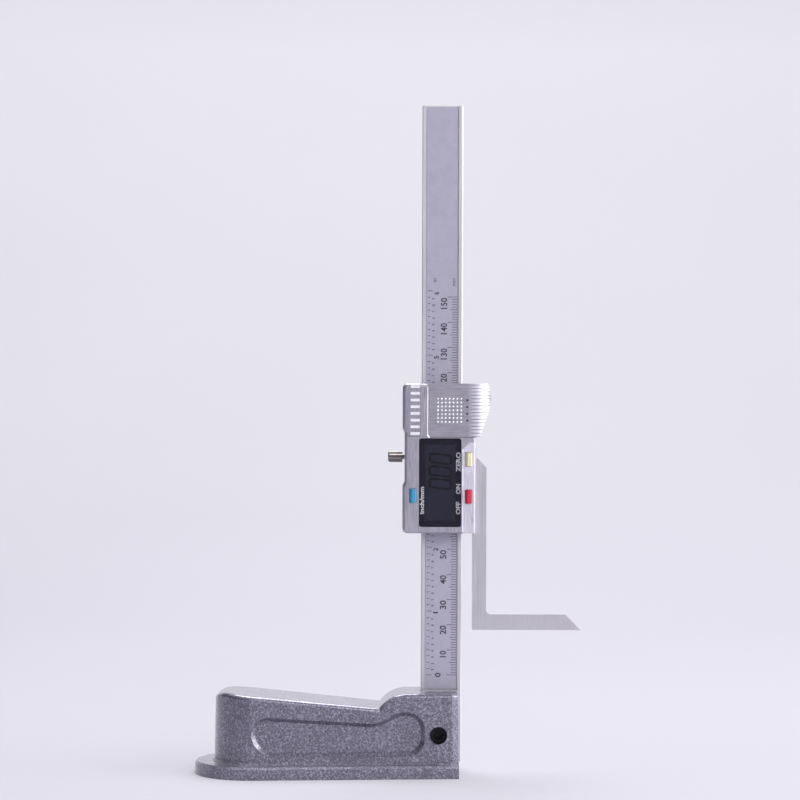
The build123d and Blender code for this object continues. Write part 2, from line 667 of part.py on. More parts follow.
def coin_cell():
    """Button cell: wide positive can with the smaller negative cap at the back."""
    can_back = cell_back - CELL_CAP_HEIGHT
    can = rod_y(CELL_DIAMETER / 2, cell_front, can_back, cell_x, cell_z)
    return can + screw_y(CELL_CAP_DIAMETER, cell_back, can_back, cell_x, cell_z)


def battery_spring():
    """Negative contact: a leaf under the cell with a leg down to the board."""
    half = SPRING_WIDTH / 2
    left = cell_x - SPRING_REACH
    leaf = span(left, cell_x + SPRING_REACH, cell_back, floor_front, cell_z - half, cell_z + half)
    return leaf + span(left, left + CONTACT_THICKNESS, cell_back, sensor_face, cell_z - half, cell_z + half)


def battery_clip():
    """Positive contact: a leaf on the cell's rim with its foot on the board."""
    half = CLIP_WIDTH / 2
    left = cell_x + CELL_DIAMETER / 2
    front = cell_front + CONTACT_THICKNESS
    return span(left, left + CONTACT_THICKNESS, front, sensor_face, cell_z - half, cell_z + half)


# ---------------------------------------------------------------- display case

def case_envelope():
    """Outside form of the case, with its waist and rounded front edges."""
    waist = case_left + CASE_WAIST
    low, high = CASE_WAIST_Z
    outline = polygon([
        (case_left, 0),
        (case_left, low),
        (waist, low + CASE_WAIST_RAMP),
        (waist, high - CASE_WAIST_RAMP),
        (case_left, high),
        (case_left, CASE_HEIGHT),
        (case_right, CASE_HEIGHT),
        (case_right, 0),
    ])
    corners = outline.vertices().filter_by_position(Axis.Y, 0, 0) + outline.vertices().filter_by_position(
        Axis.Y, CASE_HEIGHT, CASE_HEIGHT
    )
    outline = fillet(corners.filter_by_position(Axis.X, case_left, case_left), CASE_CORNER)
    solid = push_y(outline, case_rear, case_face)
    front = solid.faces().sort_by(Axis.Y)[0]
    return fillet(front.edges(), CASE_EDGE_ROUND)


def scoop_tool():
    """Cutter for the sloping button scoop with its diagonal upper end."""
    far = case_right + OVERSHOOT
    top = SCOOP_TOP + SCOOP_DIAGONAL
    seen = push_y(polygon([
        (scoop_left, -OVERSHOOT),
        (scoop_left, SCOOP_TOP),
        (scoop_left + SCOOP_DIAGONAL, top),
        (far, top + SCOOP_STEP),
        (far, -OVERSHOOT),
    ]), case_rear, ahead)
    step_x = scoop_left + SCOOP_STEP
    section = polygon([
        (scoop_left, ahead),
        (scoop_left, case_face),
        (step_x, case_face + SCOOP_STEP),
        (far, case_face + SCOOP_STEP + (far - step_x) * scoop_fall),
        (far, ahead),
    ])
    return seen & extrude(section, 2 * CASE_HEIGHT, both=True)


def button_outline(x, z, grow):
    """A button seen from the front, with its corners broken."""
    outline = Rectangle(BUTTON_WIDTH + 2 * grow, BUTTON_HEIGHT + 2 * grow)
    return Pos(x, z) * chamfer(outline.vertices(), BUTTON_CORNER)


def button_hole(x, z, back):
    return push_y(button_outline(x, z, BUTTON_CLEARANCE), back, ahead)


def port_region(clearance):
    """The corner of the case that the sliding port cover takes up."""
    bottom = PORT_BOTTOM - clearance
    thickness = PORT_THICKNESS + clearance
    right = port_right + clearance
    left = case_left - OVERSHOOT
    face = span(left, right, ahead, case_face + thickness, bottom, above)
    side = span(left, case_left + thickness, ahead, behind, bottom, above)
    lip_back = case_face + thickness
    lip_front = case_face + PORT_THICKNESS - PORT_LIP_THICKNESS - clearance
    lip = span(right - OVERSHOOT, right + PORT_LIP, lip_front, lip_back, bottom, above)
    return face + side + lip


def hollow(case):
    """Cuts the compartments, all open at the back."""
    shoulder = scoop_left - SCOOP_GAP / 2
    case -= span(inner_left, shoulder, front_inner, behind, inner_bottom, display_top)
    case -= span(inner_left, inner_right, scoop_inner, behind, inner_bottom, display_top)
    case -= span(port_left, bay_partition, port_front, behind, bay_bottom, inner_top)
    case -= span(bay_partition, bay_right, floor_back, behind, bay_bottom, inner_top)
    return case - span(inner_left, bay_right, sensor_face, behind, inner_bottom, inner_top)


def open_bay(case):
    """Opens the battery bay to the front; adds the cover's groove and rail and the places for the contacts."""
    corner = COVER_CORNER + COVER_GAP
    far_right = case_right + ROUND_OVERSHOOT
    far_top = CASE_HEIGHT + ROUND_OVERSHOOT
    case -= plate(cover_left - COVER_GAP, far_right, display_top, far_top, corner, bay_front, ahead)
    case -= span(bay_left, bay_right, ahead, floor_front, bay_bottom, inner_top)
    groove_back = cover_back + COVER_GAP
    groove_front = cover_back - COVER_TONGUE_THICKNESS - COVER_GAP
    groove_left = cover_left - COVER_TONGUE - COVER_GAP
    case -= span(groove_left, cover_left, groove_front, groove_back, display_top, above)
    case -= span(wall_right, case_right + OVERSHOOT, ahead, behind, display_top, above)
    rail_root = wall_right - CASE_SIDE_WALL / 2
    case += span(rail_root, wall_right + RAIL_HEIGHT, rail_front, rail_back, COVER_BOTTOM, CASE_HEIGHT)
    clip_left = cell_x + CELL_DIAMETER / 2 + CONTACT_THICKNESS
    half_post = CLIP_POST_WIDTH / 2
    case += span(
        clip_left, clip_left + CASE_SIDE_WALL, cell_front, floor_front, cell_z - half_post, cell_z + half_post,
    )
    for leg_left, width in ((cell_x - SPRING_REACH, SPRING_WIDTH), (cell_x + CELL_DIAMETER / 2, CLIP_WIDTH)):
        case -= span(
            leg_left - SCREW_CLEARANCE, leg_left + CONTACT_THICKNESS, floor_front, floor_back,
            cell_z - width / 2 - SCREW_CLEARANCE, cell_z + width / 2 + SCREW_CLEARANCE,
        )
    return case


def add_bosses(case):
    """Bosses for the screws from behind."""
    for x, z in screw_places:
        upper = z > COVER_BOTTOM
        if upper and x > 0:
            end = sensor_face - CASE_SCREW_REACH - CASE_SIDE_WALL
        else:
            end = (port_front if upper else front_inner) - SCREW_CLEARANCE
        case += screw_y(2 * BOSS_RADIUS, sensor_face, end, x, z)
        case -= screw_y(CASE_SCREW_DIAMETER, sensor_face, sensor_face - CASE_SCREW_REACH, x, z)
    return case


def open_front(case):
    """Cuts the window's seat and opening, and the button holes."""
    case -= plate(
        window_left - WINDOW_CLEARANCE, window_right + WINDOW_CLEARANCE,
        WINDOW_Z - WINDOW_CLEARANCE, window_top + WINDOW_CLEARANCE, WINDOW_CORNER, window_back, ahead,
    )
    case -= plate(
        window_left + WINDOW_LEDGE, window_right - WINDOW_LEDGE,
        WINDOW_Z + WINDOW_LEDGE, window_top - WINDOW_LEDGE, WINDOW_CORNER, front_inner + OVERSHOOT, ahead,
    )
    case -= button_hole(right_button_x, ZERO_BUTTON_Z, scoop_inner + OVERSHOOT)
    case -= button_hole(right_button_x, POWER_BUTTON_Z, scoop_inner + OVERSHOOT)
    return case - button_hole(left_button_x, UNIT_BUTTON_Z, front_inner + OVERSHOOT)


def display_case():
    case = case_envelope() - scoop_tool()
    right_edges = case.edges().filter_by(Axis.Z).filter_by_position(Axis.X, case_right, case_right)
    case = fillet(right_edges.sort_by(Axis.Z)[0], CASE_EDGE_ROUND)

    case = open_front(add_bosses(open_bay(hollow(case))))
    case -= port_region(PORT_CLEARANCE)
    socket_back = sensor_face - PORT_CONTACT_THICKNESS
    socket_front = socket_back - PORT_OPENING_DEPTH
    half = PORT_OPENING_HEIGHT / 2
    socket_right = port_left + PORT_CLEARANCE
    return case - span(case_left, socket_right, socket_front, socket_back, port_z - half, port_z + half)


def display_window():
    return plate(window_left, window_right, WINDOW_Z, window_top, WINDOW_CORNER, window_back, window_face)


def button(x, z, surface, inner, left_slope):
    """Crowned key with a flange behind the case's front wall and a stem to its pad."""
    half_w, half_h = BUTTON_WIDTH / 2, BUTTON_HEIGHT / 2
    top = surface - BUTTON_PROUD
    cap = push_y(button_outline(x, z, 0), inner, top)
    section = polygon([
        (x - half_w, inner), (x - half_w, top + left_slope), (x - half_w + left_slope, top),
        (x + half_w - BUTTON_CORNER, top), (x + half_w, top + BUTTON_CORNER), (x + half_w, inner),
    ])
    cap &= extrude(section, CASE_HEIGHT)
    flange_back = inner + BUTTON_FLANGE_THICKNESS
    flange = span(
        x - half_w - BUTTON_FLANGE, x + half_w + BUTTON_FLANGE / 2, inner, flange_back,
        z - half_h - BUTTON_FLANGE, z + half_h + BUTTON_FLANGE,
    )
    stem_end = sensor_face - KEY_PAD_HEIGHT - BUTTON_TRAVEL - 2 * SCREW_CLEARANCE
    half_stem = BUTTON_STEM_WIDTH / 2
    stem = span(x - half_stem, x + half_stem, inner, stem_end, z - half_h / 2, z + half_h / 2)
    return cap + flange + stem


def scoop_surface(x):
    return case_face + SCOOP_STEP + (x - scoop_left - SCOOP_STEP) * scoop_fall


def zero_button():
    surface = scoop_surface(right_button_x)
    return button(right_button_x, ZERO_BUTTON_Z, surface, scoop_inner + BUTTON_REST_GAP, BUTTON_PROUD)


def power_button():
    surface = scoop_surface(right_button_x)
    return button(right_button_x, POWER_BUTTON_Z, surface, scoop_inner + BUTTON_REST_GAP, BUTTON_PROUD)


def unit_button():
    return button(left_button_x, UNIT_BUTTON_Z, case_face, front_inner + BUTTON_REST_GAP, BUTTON_PROUD)


# ---------------------------------------------------------------- sliding covers

def grip_outline(inset):
    """Right-hand outline of the battery cover, seen from the front."""
    foot = (case_right + GRIP_FOOT_REACH - inset, COVER_BOTTOM)
    widest = (case_right + GRIP_REACH - inset, CASE_HEIGHT - GRIP_WIDEST_DROP)
    crown = (case_right + GRIP_TOP_REACH - inset, CASE_HEIGHT)
    bulge = ((foot[0] + widest[0]) / 2 + GRIP_BULGE, (foot[1] + widest[1]) / 2)
    side = Spline(foot, bulge, widest, crown)
    rest = Polyline(crown, (cover_left, CASE_HEIGHT), (cover_left, COVER_BOTTOM), foot)
    return make_face(side + rest)


def grip_section(inset):
    """Section of the battery cover, seen from above: flat face falling away into the thumb grip."""
    start = (case_right - GRIP_START, cover_face + inset)
    side = (case_right + GRIP_REACH + GRIP_SIDE_MARGIN - inset, case_rear - GRIP_SIDE_SETBACK)
    bend = tuple(a + (b - a) * share for a, b, share in zip(start, side, GRIP_BEND))
    face = Spline(start, bend, side, tangents=[(1, 0), (GRIP_SIDE_LEAN, 1)])
    rest = Polyline(
        side, (side[0], grip_back), (grip_left, grip_back), (grip_left, cover_back),
        (cover_left, cover_back), (cover_left, cover_face + inset), start,
    )
    return make_face(face + rest)


def grip_solid(inset):
    section = Pos(0, 0, COVER_BOTTOM) * extrude(grip_section(inset), CASE_HEIGHT - COVER_BOTTOM)
    return section & push_y(grip_outline(inset), case_rear, case_face)


def battery_cover():
    cover = grip_solid(0)
    corner = cover.edges().filter_by(Axis.Y).filter_by_position(
        Axis.X, cover_left, cover_left).filter_by_position(Axis.Z, COVER_BOTTOM, COVER_BOTTOM)
    cover = fillet(corner, COVER_CORNER)

    # ribs across the grip
    groove_left = case_right - GRIP_START + RIB_START
    groove_right = case_right + 2 * GRIP_REACH
    shell = grip_solid(0) - grip_solid(RIB_DEPTH)
    count = int((CASE_HEIGHT - COVER_BOTTOM - RIB_GROOVE) / RIB_PITCH)
    for number in range(1, count):
        z = COVER_BOTTOM + RIB_GROOVE + number * RIB_PITCH
        cover -= shell & span(groove_left, groove_right, ahead, case_rear, z - RIB_GROOVE, z)

    # row of dimples beside the grip
    cover_middle = (COVER_BOTTOM + CASE_HEIGHT) / 2
    for number in range(DIMPLE_COUNT):
        z = cover_middle + (number - (DIMPLE_COUNT - 1) / 2) * DIMPLE_PITCH
        dimple = Pos(case_right - DIMPLE_INSET, z) * RegularPolygon(DIMPLE_DIAMETER / 2, DIMPLE_SIDES)
        cover -= push_y(dimple, cover_face + DIMPLE_DEPTH, cover_face - OVERSHOOT)

    # runners: tongue under the case's lip, groove on the case's rail
    cover += span(
        cover_left - COVER_TONGUE, cover_left + COVER_TONGUE_ROOT, cover_back - COVER_TONGUE_THICKNESS, cover_back,
        COVER_BOTTOM + COVER_CORNER, CASE_HEIGHT - CASE_EDGE_ROUND,
    )
    gap = COVER_GAP
    return cover - span(
        grip_left - OVERSHOOT, wall_right + RAIL_HEIGHT + gap, rail_front - gap, rail_back + gap,
        COVER_BOTTOM - OVERSHOOT, CASE_HEIGHT + OVERSHOOT,
    )


def port_cover():
    """Ribbed sliding cover over the data socket, bent round the case's corner."""
    cover = case_envelope() & port_region(0)
    cover &= span(case_left, case_right, case_face, case_rear - 2 * PORT_CLEARANCE, 0, CASE_HEIGHT)
    right = port_right - PAD_RIGHT_INSET
    pad_count = int((CASE_HEIGHT - PORT_BOTTOM - PAD_HEIGHT - CASE_EDGE_ROUND / 2) / PAD_PITCH) + 1
    for number in range(pad_count):
        z = PORT_BOTTOM + PAD_HEIGHT + number * PAD_PITCH
        pad = span(
            right - PAD_WIDTH, right, case_face - PAD_PROUD, case_face + PORT_THICKNESS / 2,
            z - PAD_HEIGHT / 2, z + PAD_HEIGHT / 2,
        )
        cover += pad
    return cover


# ---------------------------------------------------------------- one file for each piece

STANDING = {
    "base_casting": base_casting,
    "clamp_screw": clamp_screw,
    "beam": beam,
    "scale_strip": scale_strip,
    "scale_label": scale_label,
}
SLIDING = {
    "slider_frame": slider_frame,
    "gib_strip": gib_strip,
    "gib_screws": gib_screws,
    "lock_screw": lock_screw,
    "case_screws": case_screws,
    "sensor_board": sensor_board,
    "chip_cover": chip_cover,
    "port_contacts": port_contacts,
    "zebra_strips": zebra_strips,
    "lcd_panel": lcd_panel,
    "key_pads": key_pads,
    "coin_cell": coin_cell,
    "battery_spring": battery_spring,
    "battery_clip": battery_clip,
    "display_case": display_case,
    "display_window": display_window,
    "zero_button": zero_button,
    "power_button": power_button,
    "unit_button": unit_button,
    "battery_cover": battery_cover,
    "port_cover": port_cover,
}


def as_one(made):
    if not isinstance(made, list):
        return made
    return Compound(children=[piece for item in made for piece in item.solids()])


os.makedirs("parts", exist_ok=True)
for name, make in STANDING.items():
    export_step(as_one(make()), f"parts/{name}.step")
for name, make in SLIDING.items():
    export_step(Pos(0, 0, slider_z) * as_one(make()), f"parts/{name}.step")
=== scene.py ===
# %% [markdown]
# # A small digital height gauge
#
# The real thing is a cast foot, an upright steel beam with a printed scale, and a sliding
# display head with a low measuring arm. The rigid pieces arrive as finished meshes in metres.
# This lesson gives them their surfaces, prints the scale and the legends, and lights them
# softly.

# %% Load the frame
import math

import bmesh
import bpy
from mathutils import Matrix, Vector


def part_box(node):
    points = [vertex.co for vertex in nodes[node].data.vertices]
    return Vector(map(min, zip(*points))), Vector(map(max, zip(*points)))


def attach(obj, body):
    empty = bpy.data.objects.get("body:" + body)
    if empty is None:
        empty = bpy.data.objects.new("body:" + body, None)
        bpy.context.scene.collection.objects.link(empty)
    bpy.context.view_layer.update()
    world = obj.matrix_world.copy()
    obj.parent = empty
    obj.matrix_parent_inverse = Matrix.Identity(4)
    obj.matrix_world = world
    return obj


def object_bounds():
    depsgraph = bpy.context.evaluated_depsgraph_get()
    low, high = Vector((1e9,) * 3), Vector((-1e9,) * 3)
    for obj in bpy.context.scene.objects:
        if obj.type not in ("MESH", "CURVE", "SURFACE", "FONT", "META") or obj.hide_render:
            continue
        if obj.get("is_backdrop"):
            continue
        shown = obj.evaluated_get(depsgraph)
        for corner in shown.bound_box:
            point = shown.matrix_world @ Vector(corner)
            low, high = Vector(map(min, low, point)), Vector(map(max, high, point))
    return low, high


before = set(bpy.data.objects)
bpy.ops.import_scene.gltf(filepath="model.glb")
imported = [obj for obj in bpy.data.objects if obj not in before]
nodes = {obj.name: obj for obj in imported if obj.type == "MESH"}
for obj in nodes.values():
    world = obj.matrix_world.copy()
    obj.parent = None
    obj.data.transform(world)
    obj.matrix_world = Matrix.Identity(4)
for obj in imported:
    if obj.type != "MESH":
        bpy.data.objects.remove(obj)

cad_low, cad_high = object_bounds()
MM = 0.001
print("pieces in the frame:", len(nodes))

# %% [markdown]
# ## Where things are
#
# Every place below is worked out from the boxes of the rigid pieces, so that a print stays on
# the surface that carries it. Lengths are in metres, and a length in millimetres is written
# as a number times MM. The head's own heights count from its lower edge.

# %% Places read from the frame
label_low, label_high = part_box("scale_label")
window_low, window_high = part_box("display_window")
case_low, case_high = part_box("display_case")
cover_low, cover_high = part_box("battery_cover")
lcd_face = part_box("lcd_panel")[0].y
film_face = label_low.y
case_face = case_low.y
slider_z = case_low.z
print("slider's lower edge at", round(slider_z / MM, 1), "mm")

# %% [markdown]
# ## Small helpers
#
# Colours are picked as sRGB hex values, the way a paint chart gives them, but Cycles computes
# in linear light, so one function converts them. Another adds a node, sets its inputs and
# links it, which keeps each material readable as a short list of steps.

# %% Colour and node helpers
def srgb(code):
    """'#RRGGBB' as linear RGBA."""
    parts = [int(code[i:i + 2], 16) / 255 for i in (1, 3, 5)]
    linear = [c / 12.92 if c <= 0.04045 else ((c + 0.055) / 1.055) ** 2.4 for c in parts]
    return (*linear, 1.0)


def fill(tree, node, **inputs):
    """Fills a node's inputs with values or sockets; Base_Color is a name, i2 a number."""
    for name, value in inputs.items():
        numbered = name[0] == "i" and name[1:].isdigit()
        key = int(name[1:]) if numbered else name.replace("_", " ")
        if isinstance(value, bpy.types.NodeSocket):
            tree.links.new(value, node.inputs[key])
        else:
            node.inputs[key].default_value = value


def add(tree, kind, settings=None, **inputs):
    """Adds a node; settings go on the node itself, the rest fills its inputs."""
    node = tree.nodes.new(kind)
    for name, value in (settings or {}).items():
        setattr(node, name, value)
    fill(tree, node, **inputs)
    return node


def new_material(name):
    """An empty node material, its principled shader, and the object's own coordinates."""
    material = bpy.data.materials.new(name)
    material.use_nodes = True
    tree = material.node_tree
    tree.nodes.clear()
    shader = add(tree, "ShaderNodeBsdfPrincipled")
    add(tree, "ShaderNodeOutputMaterial", Surface=shader.outputs["BSDF"])
    coords = add(tree, "ShaderNodeTexCoord").outputs["Object"]
    return material, tree, shader, coords


print("helpers ready")

# %% [markdown]
# ## Pattern helpers
#
# The finishes below share a few steps: noise of a real size, sums of two noises, a ramp that
# turns a number into a colour, a change of range, and a bump. Each step returns what the next
# one reads, so a finish reads like a sentence.

# %% Noise of a real size
X, UP = 0, 2                # axes along which a finish is brushed


def noise(tree, coords, size, detail, roughness=0.5):
    """Noise whose blotches are about size metres across."""
    return add(tree, "ShaderNodeTexNoise", Vector=coords, Scale=1 / size, Detail=detail,
               Roughness=roughness)


def streaks(tree, coords, across, along, axis, detail, roughness):
    """Noise drawn out along an axis, as grinding and brushing leave it."""
    scale = [1 / across] * 3
    scale[axis] = 1 / along
    drawn = add(tree, "ShaderNodeMapping", Vector=coords, Scale=scale).outputs["Vector"]
    return noise(tree, drawn, 1.0, detail, roughness).outputs["Fac"]


print("noise helpers ready")

# %% Numbers, colours and bumps
def calc(tree, operation, *values):
    """The result of a math node on two or three values."""
    inputs = {f"i{place}": value for place, value in enumerate(values)}
    return add(tree, "ShaderNodeMath", {"operation": operation}, **inputs).outputs["Value"]


def remap(tree, value, low, high, new_low=0.0, new_high=1.0):
    """A value moved from one range to another, and held inside it."""
    node = add(tree, "ShaderNodeMapRange", Value=value, i1=low, i2=high, i3=new_low, i4=new_high)
    return node.outputs["Result"]


def ramp(tree, value, *stops):
    """A number turned into a colour; a stop is a position and a hex colour."""
    node = add(tree, "ShaderNodeValToRGB", Fac=value)
    elements = node.color_ramp.elements
    for end in (0, -1):
        elements[end].position, elements[end].color = stops[end][0], srgb(stops[end][1])
    for position, code in stops[1:-1]:
        elements.new(position).color = srgb(code)
    return node.outputs["Color"]


def mix(tree, share, first, second):
    """Two colours mixed by a share from 0 to 1."""
    node = add(tree, "ShaderNodeMix", {"data_type": "RGBA"}, i0=share, i6=first, i7=second)
    return node.outputs["Result"]


def bump(tree, height, strength, depth):
    """A normal that follows a height pattern; depth is in metres."""
    node = add(tree, "ShaderNodeBump", Strength=strength, Distance=depth, Height=height)
    return node.outputs["Normal"]


print("colour helpers ready")

# %% [markdown]
# ## Dressing the rigid pieces
#
# The rigid pieces keep their meshes, so a finish only fills their material slot. No real edge
# is perfectly sharp, and the thin bright line along a broken edge is what makes metal look
# solid. A bevel modifier adds it on the edges that turn by more than a set angle.

# %% Dressing
SHARP_ANGLE = math.radians(25)


def dress(material, *names, soften=0.0):
    """Gives nodes a material; soften is the width of a rounding that breaks sharp edges."""
    for name in names:
        mesh = nodes[name].data
        mesh.materials.clear()
        mesh.materials.append(material)
        if soften:
            rounding = nodes[name].modifiers.new("broken_edges", "BEVEL")
            rounding.width = soften
            rounding.segments = 2
            rounding.limit_method = "ANGLE"
            rounding.angle_limit = SHARP_ANGLE
            rounding.harden_normals = True


print("edges are sharp from", round(math.degrees(SHARP_ANGLE)), "degrees")

# %% [markdown]
# ## Brushed stainless steel
#
# The beam and the measuring arm are ground stainless steel. Grinding leaves fine parallel
# scratches, which stretch a highlight across their direction. Noise squeezed hard in two
# directions and left long in the third gives such scratches. They drive a little of the
# colour, the roughness and the bump together, as real scratches do.

# %% Stainless steel
SCRATCH_GAP = 0.35 * MM
SCRATCH_LENGTH = 30 * MM
STEEL_CLOUD = 14 * MM


def brushed_steel(name, dark, light, roughness):
    """Stainless steel with upright grinding lines."""
    material, tree, shader, coords = new_material(name)
    lines = streaks(tree, coords, SCRATCH_GAP, SCRATCH_LENGTH, UP, detail=4.0, roughness=0.6)
    clouds = noise(tree, coords, STEEL_CLOUD, 3.0).outputs["Fac"]
    tone = calc(tree, "MULTIPLY_ADD", clouds, 0.35, lines)
    fill(tree, shader,
         Base_Color=ramp(tree, tone, (0.4, dark), (0.95, light)),
         Roughness=remap(tree, lines, 0.3, 0.7, roughness - 0.05, roughness + 0.06),
         Normal=bump(tree, lines, 0.12, 0.02 * MM),
         Metallic=1.0)
    return material


dress(brushed_steel("stainless_beam", "#C2BFC6", "#DEDCE1", 0.48), "beam", soften=0.12 * MM)
dress(brushed_steel("stainless_arm", "#C8C5CC", "#E6E4E9", 0.36), "slider_frame",
      soften=0.15 * MM)
print("steel on beam and slider frame")

# %% [markdown]
# ## Hammertone enamel
#
# The foot is grey cast iron under hammertone enamel, a paint whose leafing pigment gathers in
# small cells while it dries. Voronoi cells bent by noise, and a finer grain over them, mottle
# the colour. The same pattern drives the bump, so that the gloss breaks up at the same
# places, and a clear coat gives the paint its wet shine.

# %% Hammertone enamel
CELL_SIZE = 0.9 * MM
CELL_BEND = 0.4 * MM
BEND_SIZE = 1.2 * MM
ENAMEL_GRAIN = 0.5 * MM
ENAMEL_CLOUD = 12 * MM


def hammertone_enamel():
    material, tree, shader, coords = new_material("hammertone_enamel")
    warp = noise(tree, coords, BEND_SIZE, 2.0).outputs["Color"]
    bent = add(tree, "ShaderNodeVectorMath", {"operation": "MULTIPLY_ADD"}, i0=warp,
               i1=(CELL_BEND,) * 3, i2=coords).outputs["Vector"]
    cells = add(tree, "ShaderNodeTexVoronoi", {"feature": "SMOOTH_F1"}, Vector=bent,
                Scale=1 / CELL_SIZE, Smoothness=0.4).outputs["Distance"]
    grain = noise(tree, coords, ENAMEL_GRAIN, 3.0, 0.6).outputs["Fac"]
    mottle = calc(tree, "MULTIPLY_ADD", cells, 0.35, grain)
    clouds = noise(tree, coords, ENAMEL_CLOUD, 2.0).outputs["Fac"]
    tone = calc(tree, "MULTIPLY_ADD", clouds, 0.15, mottle)
    fill(tree, shader,
         Base_Color=ramp(tree, tone, (0.5, "#444351"), (0.74, "#6A6877"), (1.0, "#A2A0B1")),
         Normal=bump(tree, mottle, 0.4, 0.08 * MM),
         Metallic=0.5, Roughness=0.36, Coat_Weight=1.0, Coat_Roughness=0.12)
    return material


dress(hammertone_enamel(), "base_casting", soften=0.9 * MM)
print("enamel on the foot")

# %% [markdown]
# ## Satin silver
#
# The display case and its two sliding covers have a satin silver finish: metal flake under a
# thin clear layer, brushed in short strokes. Short streaks of noise give the strokes, and a
# weak coat gives the clear layer. The case and the small cover are brushed upright, the
# battery cover from side to side.

# %% Satin silver
STROKE_GAP = 0.4 * MM
STROKE_LENGTH = 6 * MM
SILVER_CLOUD = 6 * MM


def satin_silver(name, dark, light, roughness, brushed, paint_light=None):
    """Satin silver, brushed along an axis; the last argument, when given, paints highlights and
    shade onto it.
    """
    material, tree, shader, coords = new_material(name)
    flake = streaks(tree, coords, STROKE_GAP, STROKE_LENGTH, brushed, detail=3.0, roughness=0.7)
    clouds = noise(tree, coords, SILVER_CLOUD, 2.0).outputs["Fac"]
    tone = calc(tree, "MULTIPLY_ADD", clouds, 0.3, flake)
    colour = ramp(tree, tone, (0.4, dark), (0.9, light))
    fill(tree, shader,
         Base_Color=colour,
         Normal=bump(tree, flake, 0.15, 0.02 * MM),
         Metallic=0.9, Roughness=roughness, Coat_Weight=0.15, Coat_Roughness=0.3)
    # the optional hook paints a highlight and shade onto the satin colour
    if paint_light:
        paint_light(tree, shader, coords, flake, colour)
    return material


dress(satin_silver("satin_silver_casting", "#9C99A5", "#C6C3CE", 0.42, UP), "display_case",
      soften=0.2 * MM)
print("satin silver on the case")

# %% [markdown]
# ## Painted highlight on the pads
#
# The small cover has raised pads, which are painted brighter than the face round them as a painted
# highlight. Depth tells what is raised, so a narrow step in the object's Y coordinate, just in
# front of the case's face, paints the pads pale and makes them less like a mirror.

# %% Pads with a painted highlight
PAD_STEP = case_face - 0.1 * MM          # what lies in front of it is a pad
STEP_BLUR = 0.05 * MM


def rub_pads(tree, shader, coords, flake, colour):
    """Paints what stands in front of PAD_STEP pale, as a painted highlight."""
    depth = add(tree, "ShaderNodeSeparateXYZ", Vector=coords).outputs["Y"]
    raised = remap(tree, depth, PAD_STEP + STEP_BLUR, PAD_STEP - STEP_BLUR)
    # painted highlight: the pads are painted near white
    highlight_colour = ramp(tree, flake, (0.0, "#E4E3E8"), (1.0, "#F6F5F8"))
    fill(tree, shader,
         Base_Color=mix(tree, raised, colour, highlight_colour),
         Metallic=remap(tree, raised, 0.0, 1.0, 0.9, 0.3))


# the small cover's pads carry a painted highlight
dress(satin_silver("highlit_silver_pads", "#9A97A3", "#C2BFCA", 0.4, UP, rub_pads), "port_cover",
      soften=0.12 * MM)
print("worn pads on the small cover")

# %% [markdown]
# ## Painted light on the thumb grip
#
# A thumb pushes the head up and down on the battery cover's curved end. The ribs there are
# painted brighter towards that end, a painted highlight, and the grooves between them and the four
# dimples beside them are painted darker, a painted shade. The grooves repeat upward at the pitch of
# the ribs, so a remainder in the Z coordinate finds them. The dimples are what lies behind the
# cover's face.

# %% Grip with painted highlight and shade
RIB_PITCH = 1.35 * MM
RIB_GROOVE = 0.42 * MM
COVER_SETBACK = 0.4 * MM    # the cover's face behind the case's
GRIP_OVERLAP = 2.7 * MM     # the grip starts this far before the case's right edge
DIMPLE_OFFSET = 0.9 * MM    # the dimples' column, before the grip starts
DIMPLE_REACH = 0.62 * MM
DIMPLE_SKIN, DIMPLE_FLOOR = 0.02 * MM, 0.12 * MM         # depths where the painted shade sets in
HIGHLIGHT_END = 0.7 * MM          # the painted highlight is full this far into the grip
GROOVE_SHADE_START, GROOVE_SHADE_END = -0.2 * MM, 1.2 * MM             # the grooves' painted shade sets in between
GROOVE_SHADE_SHARE = 0.6
cover_face = case_face + COVER_SETBACK
grip_start = case_high.x - GRIP_OVERLAP
dimple_x = grip_start - DIMPLE_OFFSET


def wear_grip(tree, shader, coords, flake, colour):
    """Paints a highlight on the grip, and painted shade in its grooves and the dimples."""
    place = add(tree, "ShaderNodeSeparateXYZ", Vector=coords)
    x, y, z = (place.outputs[axis] for axis in "XYZ")
    # painted highlight: the grip is painted brighter towards its curved end
    highlight_share = remap(tree, x, dimple_x, grip_start + HIGHLIGHT_END)
    highlight_colour = ramp(tree, flake, (0.0, "#B4B2BE"), (1.0, "#CAC8D2"))
    bright = mix(tree, highlight_share, colour, highlight_colour)

    # painted shade: the grooves between the ribs are painted darker
    climb = calc(tree, "SUBTRACT", z, cover_low.z)
    turn = calc(tree, "FLOORED_MODULO", climb, RIB_PITCH)
    groove = calc(tree, "LESS_THAN", turn, RIB_GROOVE)
    beyond = remap(tree, x, grip_start + GROOVE_SHADE_START, grip_start + GROOVE_SHADE_END, 0.0, GROOVE_SHADE_SHARE)
    grooves = calc(tree, "MULTIPLY", groove, beyond)

    # painted shade: the dimples are painted darker
    sunk = remap(tree, y, cover_face + DIMPLE_SKIN, cover_face + DIMPLE_FLOOR)
    column = calc(tree, "COMPARE", x, dimple_x, DIMPLE_REACH)
    dimples = calc(tree, "MULTIPLY", sunk, column)

    shade_share = calc(tree, "MAXIMUM", grooves, dimples)
    painted_shade = ramp(tree, flake, (0.0, "#5E5C68"), (1.0, "#767480"))
    fill(tree, shader, Base_Color=mix(tree, shade_share, bright, painted_shade))


# the battery cover's grip carries a painted highlight and painted shade
dress(satin_silver("satin_silver_cover", "#9A97A3", "#C2BFCA", 0.38, X, wear_grip),
      "battery_cover", soften=0.08 * MM)
print("worn grip on the battery cover")

# %% [markdown]
# ## Plain metals, plastics and boards
#
# The small pieces share one recipe. A metal or a plastic gets its colour with a little
# cloudy variation, and a fine grain that moves roughness and bump, since no moulded or plated
# surface is perfectly even.

